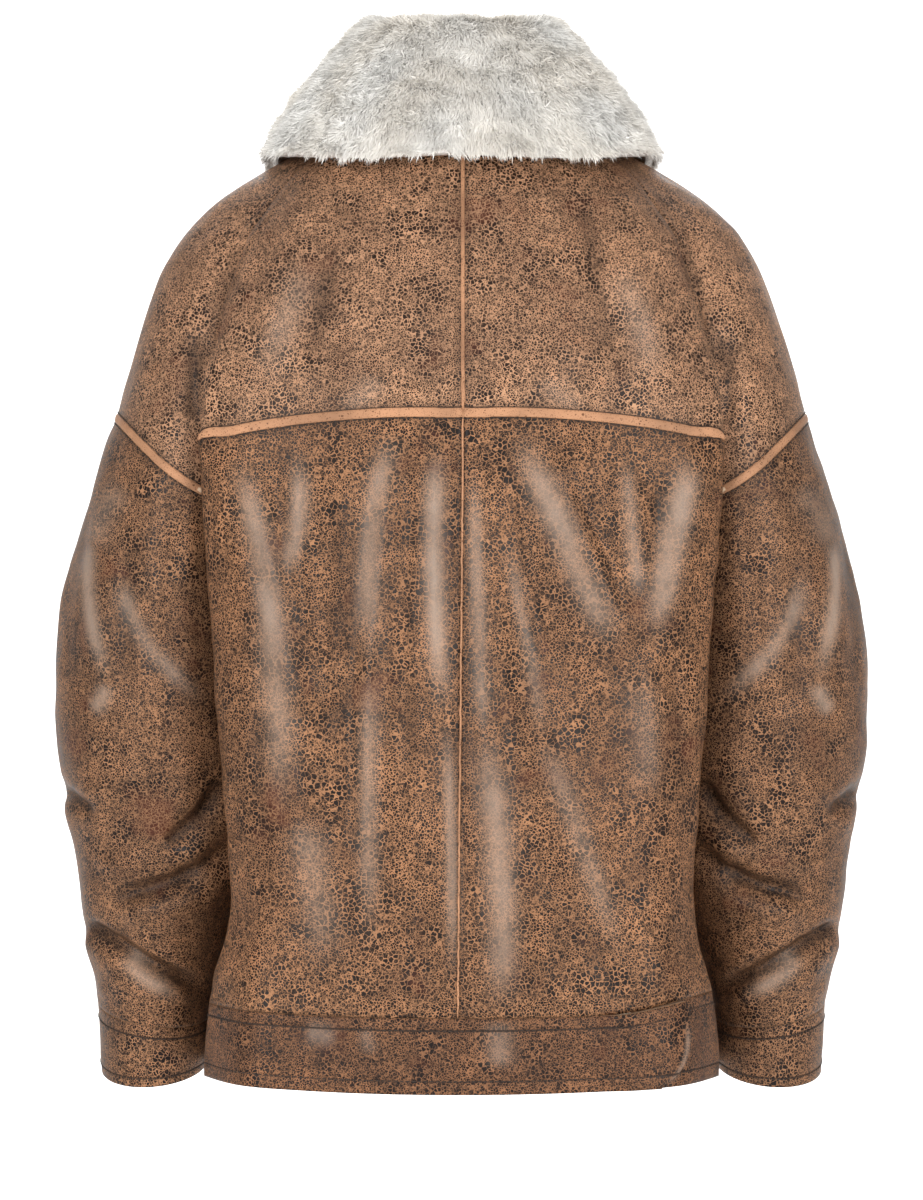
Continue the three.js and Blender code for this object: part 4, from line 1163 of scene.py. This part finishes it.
def fur_blades(name, grid, side, count, lo, hi):
    """Seeded blades on those columns of a grid, thin rhombi that lean along the fall, in tufts."""
    r = np.random.default_rng(41 + side + 10 * lo)
    near, far = slice(lo, hi), slice(lo + 1, hi + 1)
    a, b, c, d = grid[:-1, near], grid[:-1, far], grid[1:, far], grid[1:, near]
    area = np.linalg.norm(np.cross(c - a, d - b), axis=-1).ravel()
    pick = r.choice(len(area), size=count, p=area / area.sum())
    u, v = r.random(count)[:, None], r.random(count)[:, None]
    a, b, c, d = (q.reshape(-1, 3)[pick] for q in (a, b, c, d))
    root = (a * (1 - u) + b * u) * (1 - v) + (d * (1 - u) + c * u) * v
    n = unit(np.cross(b - a, d - a)) * side
    fall = unit(b - a)
    across = unit(d - a)
    tuft = np.stack([waves(root, 13, 60 + k, 20) for k in range(3)], axis=1)
    sway = np.stack([waves(root, 45, 70 + k, 16) for k in range(3)], axis=1)
    way = unit(n * 0.5 + fall * 0.62 + 0.34 * tuft + 0.24 * sway + 0.2 * r.normal(size=(count, 3)))
    share = 1.0 + 0.16 * waves(root, 17, 80, 20) + 0.12 * r.normal(size=count)
    length = FUR_LENGTH * share.clip(0.55, 1.4)
    tip = root + way * length[:, None]
    tip += (fall * 0.25 + 0.12 * r.normal(size=(count, 3))) * length[:, None]
    middle = root + way * (0.45 * length)[:, None]
    flat = unit(np.cross(way, n) + 0.45 * r.normal(size=(count, 3)))
    flat = unit(flat - way * (flat * way).sum(1, keepdims=True))
    facing = (np.cross(tip - root, flat) * n).sum(1, keepdims=True)
    flat = np.where(facing > 0, flat, -flat)
    half = (0.42 + 0.14 * r.random(count))[:, None]
    points = np.stack([root - n * 0.8, middle - flat * half, tip, middle + flat * half], axis=1)
    obj = new_object(name, points.reshape(-1, 3), np.arange(count * 4).reshape(count, 4), [FUR])
    warm = 0.5 + 0.5 * waves(root, 60, 90)
    shade = 0.985 + 0.012 * waves(root, 9, 95, 20) + 0.012 * r.normal(size=count)
    high, low = np.array(rgb(250, 248, 244)[:3]), np.array(rgb(246, 239, 228)[:3])
    tint = mix(high, low, warm.clip(0, 1)[:, None] * 0.55) * shade[:, None] ** 2.2
    color = np.concatenate([tint, np.ones((count, 1))], axis=1)
    # Each blade is painted a little darker at the root, as shade deep in the pile, and a little lighter at
    # the tip.
    corner = np.stack([color * (0.95, 0.945, 0.94, 1), color, color * (1.03, 1.03, 1.03, 1), color], axis=1)
    attribute(obj, "tint", corner.clip(0, 1), "FLOAT_COLOR")
    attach(obj, "jacket")
    return obj


# The grid's column along the top of the collar, where the neck side ends and the fall begins.
TOP_COLUMN = 26
COLLARS = {}
for side, word in SIDES:
    skin, grid = collar_body(side, word)
    few = 1.0
    COLLARS[word] = [
        skin,
        fur_blades(f"fur_fall_{word}", grid, side, int(FALL_HAIRS * few), TOP_COLUMN, ARCH_STEPS),
        fur_blades(f"fur_neck_{word}", grid, side, int(NECK_HAIRS * few), 0, TOP_COLUMN),
    ]

for node in ("zip_slider", "zip_pull"):
    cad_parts[node].data.materials.clear()
    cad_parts[node].data.materials.append(BRASS)

front_top = FRONT_EDGE["upper"][0]
zip_line = np.concatenate([
    shoulder_point(np.array([180.0]), front_top[None], steps(0.03, 1, 60))[:, 0],
    body_point(np.full(120, 16.0), steps(YOKE_BASE, -716, 120)[1:]),
]) * (0, 1, 1)


TAPE_SPAN = (0.5, 6.2)
TAPE_OUT, TAPE_IN = -2.2, -3.0
TOOTH_PITCH, TOOTH_HALF, TOOTH_SPAN, TOOTH_DEPTH = 1.4, 0.55, (-3.1, 0.7), (-2.6, -0.7)
BOX_FACES = [[0, 1, 3, 2], [4, 6, 7, 5], [0, 4, 5, 1], [2, 3, 7, 6], [0, 2, 6, 4], [1, 5, 7, 3]]


def zip_parts():
    p = resampled(zip_line, TOOTH_PITCH)
    along = unit(np.gradient(p, axis=0))
    n = np.stack([0 * along[:, 0], -along[:, 2], along[:, 1]], axis=1)
    tape, teeth = [], []
    count = len(p)
    for side in (-1, 1):
        x0, x1 = sorted(side * x for x in TAPE_SPAN)
        corners = ((TAPE_OUT, x0), (TAPE_OUT, x1), (TAPE_IN, x1), (TAPE_IN, x0))
        ring = np.stack([p + n * out + (x, 0, 0) for out, x in corners], axis=1)
        ids = np.arange(count * 4).reshape(count, 4)
        nxt = np.roll(ids, -1, axis=1)
        faces = quads(ids[:-1], ids[1:], nxt[1:], nxt[:-1]).tolist()
        tape.append((ring.reshape(-1, 3), faces + [ids[0].tolist(), ids[-1][::-1].tolist()]))
    for i in range(1, count - 1):
        span = TOOTH_SPAN if i % 2 else sorted(-x for x in TOOTH_SPAN)
        corners = [
            p[i] + along[i] * a + n[i] * b + (x, 0, 0)
            for a in (-TOOTH_HALF, TOOTH_HALF) for b in TOOTH_DEPTH for x in span
        ]
        teeth.append((np.array(corners), BOX_FACES))
    return tape, teeth


tape, teeth = zip_parts()
tape_piece = add_piece("zip_tapes", tape, TAPE, False)
add_piece("zip_teeth", teeth, BRASS, False)
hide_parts("zip_strip")

# Width, length and area of each flat cut, in metres.
CUTS = dict(
    back_yoke=(0.3, 0.34, 0.073), back=(0.3, 0.47, 0.126), front=(0.3, 0.67, 0.171),
    sleeve=(0.53, 0.48, 0.198), cuff=(0.32, 0.046, 0.0136), collar=(0.28, 0.26, 0.052),
    waistband_front_right=(0.5, 0.058, 0.027), waistband_front_left=(0.27, 0.058, 0.0146),
    waistband_back=(0.475, 0.058, 0.0257),
)
# Each piece's cut is looked up. Nothing is done with it.
for name, obj in SKINS.items():
    key = name if name in CUTS else name.rsplit("_", 1)[0]
    width, length, area = CUTS[key]
for word, parts in COLLARS.items():
    width, length, area = CUTS["collar"]
    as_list(parts[1:])


# The studio, in metres: floor height, where it ends, the bend up to the wall, wall height and half width.
FLOOR, FLOOR_END, BEND, WALL_TOP, HALF_WIDTH = -1.45, 4.8, 1.2, 8.0, 9.0


def add_stage():
    mesh = bpy.data.meshes.new("cove")
    profile = [(-HALF_WIDTH, FLOOR), (FLOOR_END, FLOOR)]
    for a in np.linspace(0.1, math.pi / 2, 12):
        profile.append((FLOOR_END + BEND * math.sin(a), FLOOR + BEND * (1 - math.cos(a))))
    profile.append((FLOOR_END + BEND, WALL_TOP))
    points = [(x, y, z) for y, z in profile for x in (-HALF_WIDTH, HALF_WIDTH)]
    faces = [(2 * i, 2 * i + 1, 2 * i + 3, 2 * i + 2) for i in range(len(profile) - 1)]
    mesh.from_pydata(points, [], faces)
    for p in mesh.polygons:
        p.use_smooth = True
    cove = bpy.data.objects.new("cove", mesh)
    bpy.context.scene.collection.objects.link(cove)
    mesh.materials.append(Nodes("paper").finish(rgb(243, 243, 242), 0.9))


def add_light(name, at, target, size, power, size_y=None):
    data = bpy.data.lights.new(name, "AREA")
    data.energy, data.size = power, size
    if size_y:
        data.shape, data.size_y = "RECTANGLE", size_y
    light = bpy.data.objects.new(name, data)
    light.location = at
    light.rotation_euler = (Vector(target) - Vector(at)).to_track_quat("-Z", "Y").to_euler()
    bpy.context.scene.collection.objects.link(light)


add_stage()
for name, x in (("left_strip", -1.6), ("right_strip", 1.6)):
    add_light(name, (x, -2.9, 0.0), (0, 0, -0.4), 1.1, 58, 2.0)
add_light("front", (0, -3.2, 2.6), (0, 0, -0.3), 1.2, 4)
add_light("top", (0, 0.2, 2.6), (0, 0, -0.2), 2.0, 6.5)
add_light("fill", (0, 2.6, 1.4), (0, 0, -0.3), 1.6, 24)
add_light("wall", (0, 3.9, 3.0), (0, 6.0, -0.4), 3.0, 300)
world = bpy.data.worlds.new("soft")
bpy.context.scene.world = world
world.use_nodes = True
background = world.node_tree.nodes["Background"].inputs
background["Color"].default_value = (1, 1, 1, 1)
background["Strength"].default_value = 0.52

# The camera stands level, straight behind the jacket's middle.
CAMERA_AT, LENS, SENSOR = (0, -3.6, -0.36), 144, 36
camera_data = bpy.data.cameras.new("camera")
camera_data.lens = LENS
camera_data.sensor_width = SENSOR
camera = bpy.data.objects.new("camera", camera_data)
camera.location = CAMERA_AT
camera.rotation_euler = (math.pi / 2, 0, 0)
bpy.context.scene.collection.objects.link(camera)
bpy.context.scene.camera = camera
bpy.context.scene.view_settings.view_transform = "Standard"
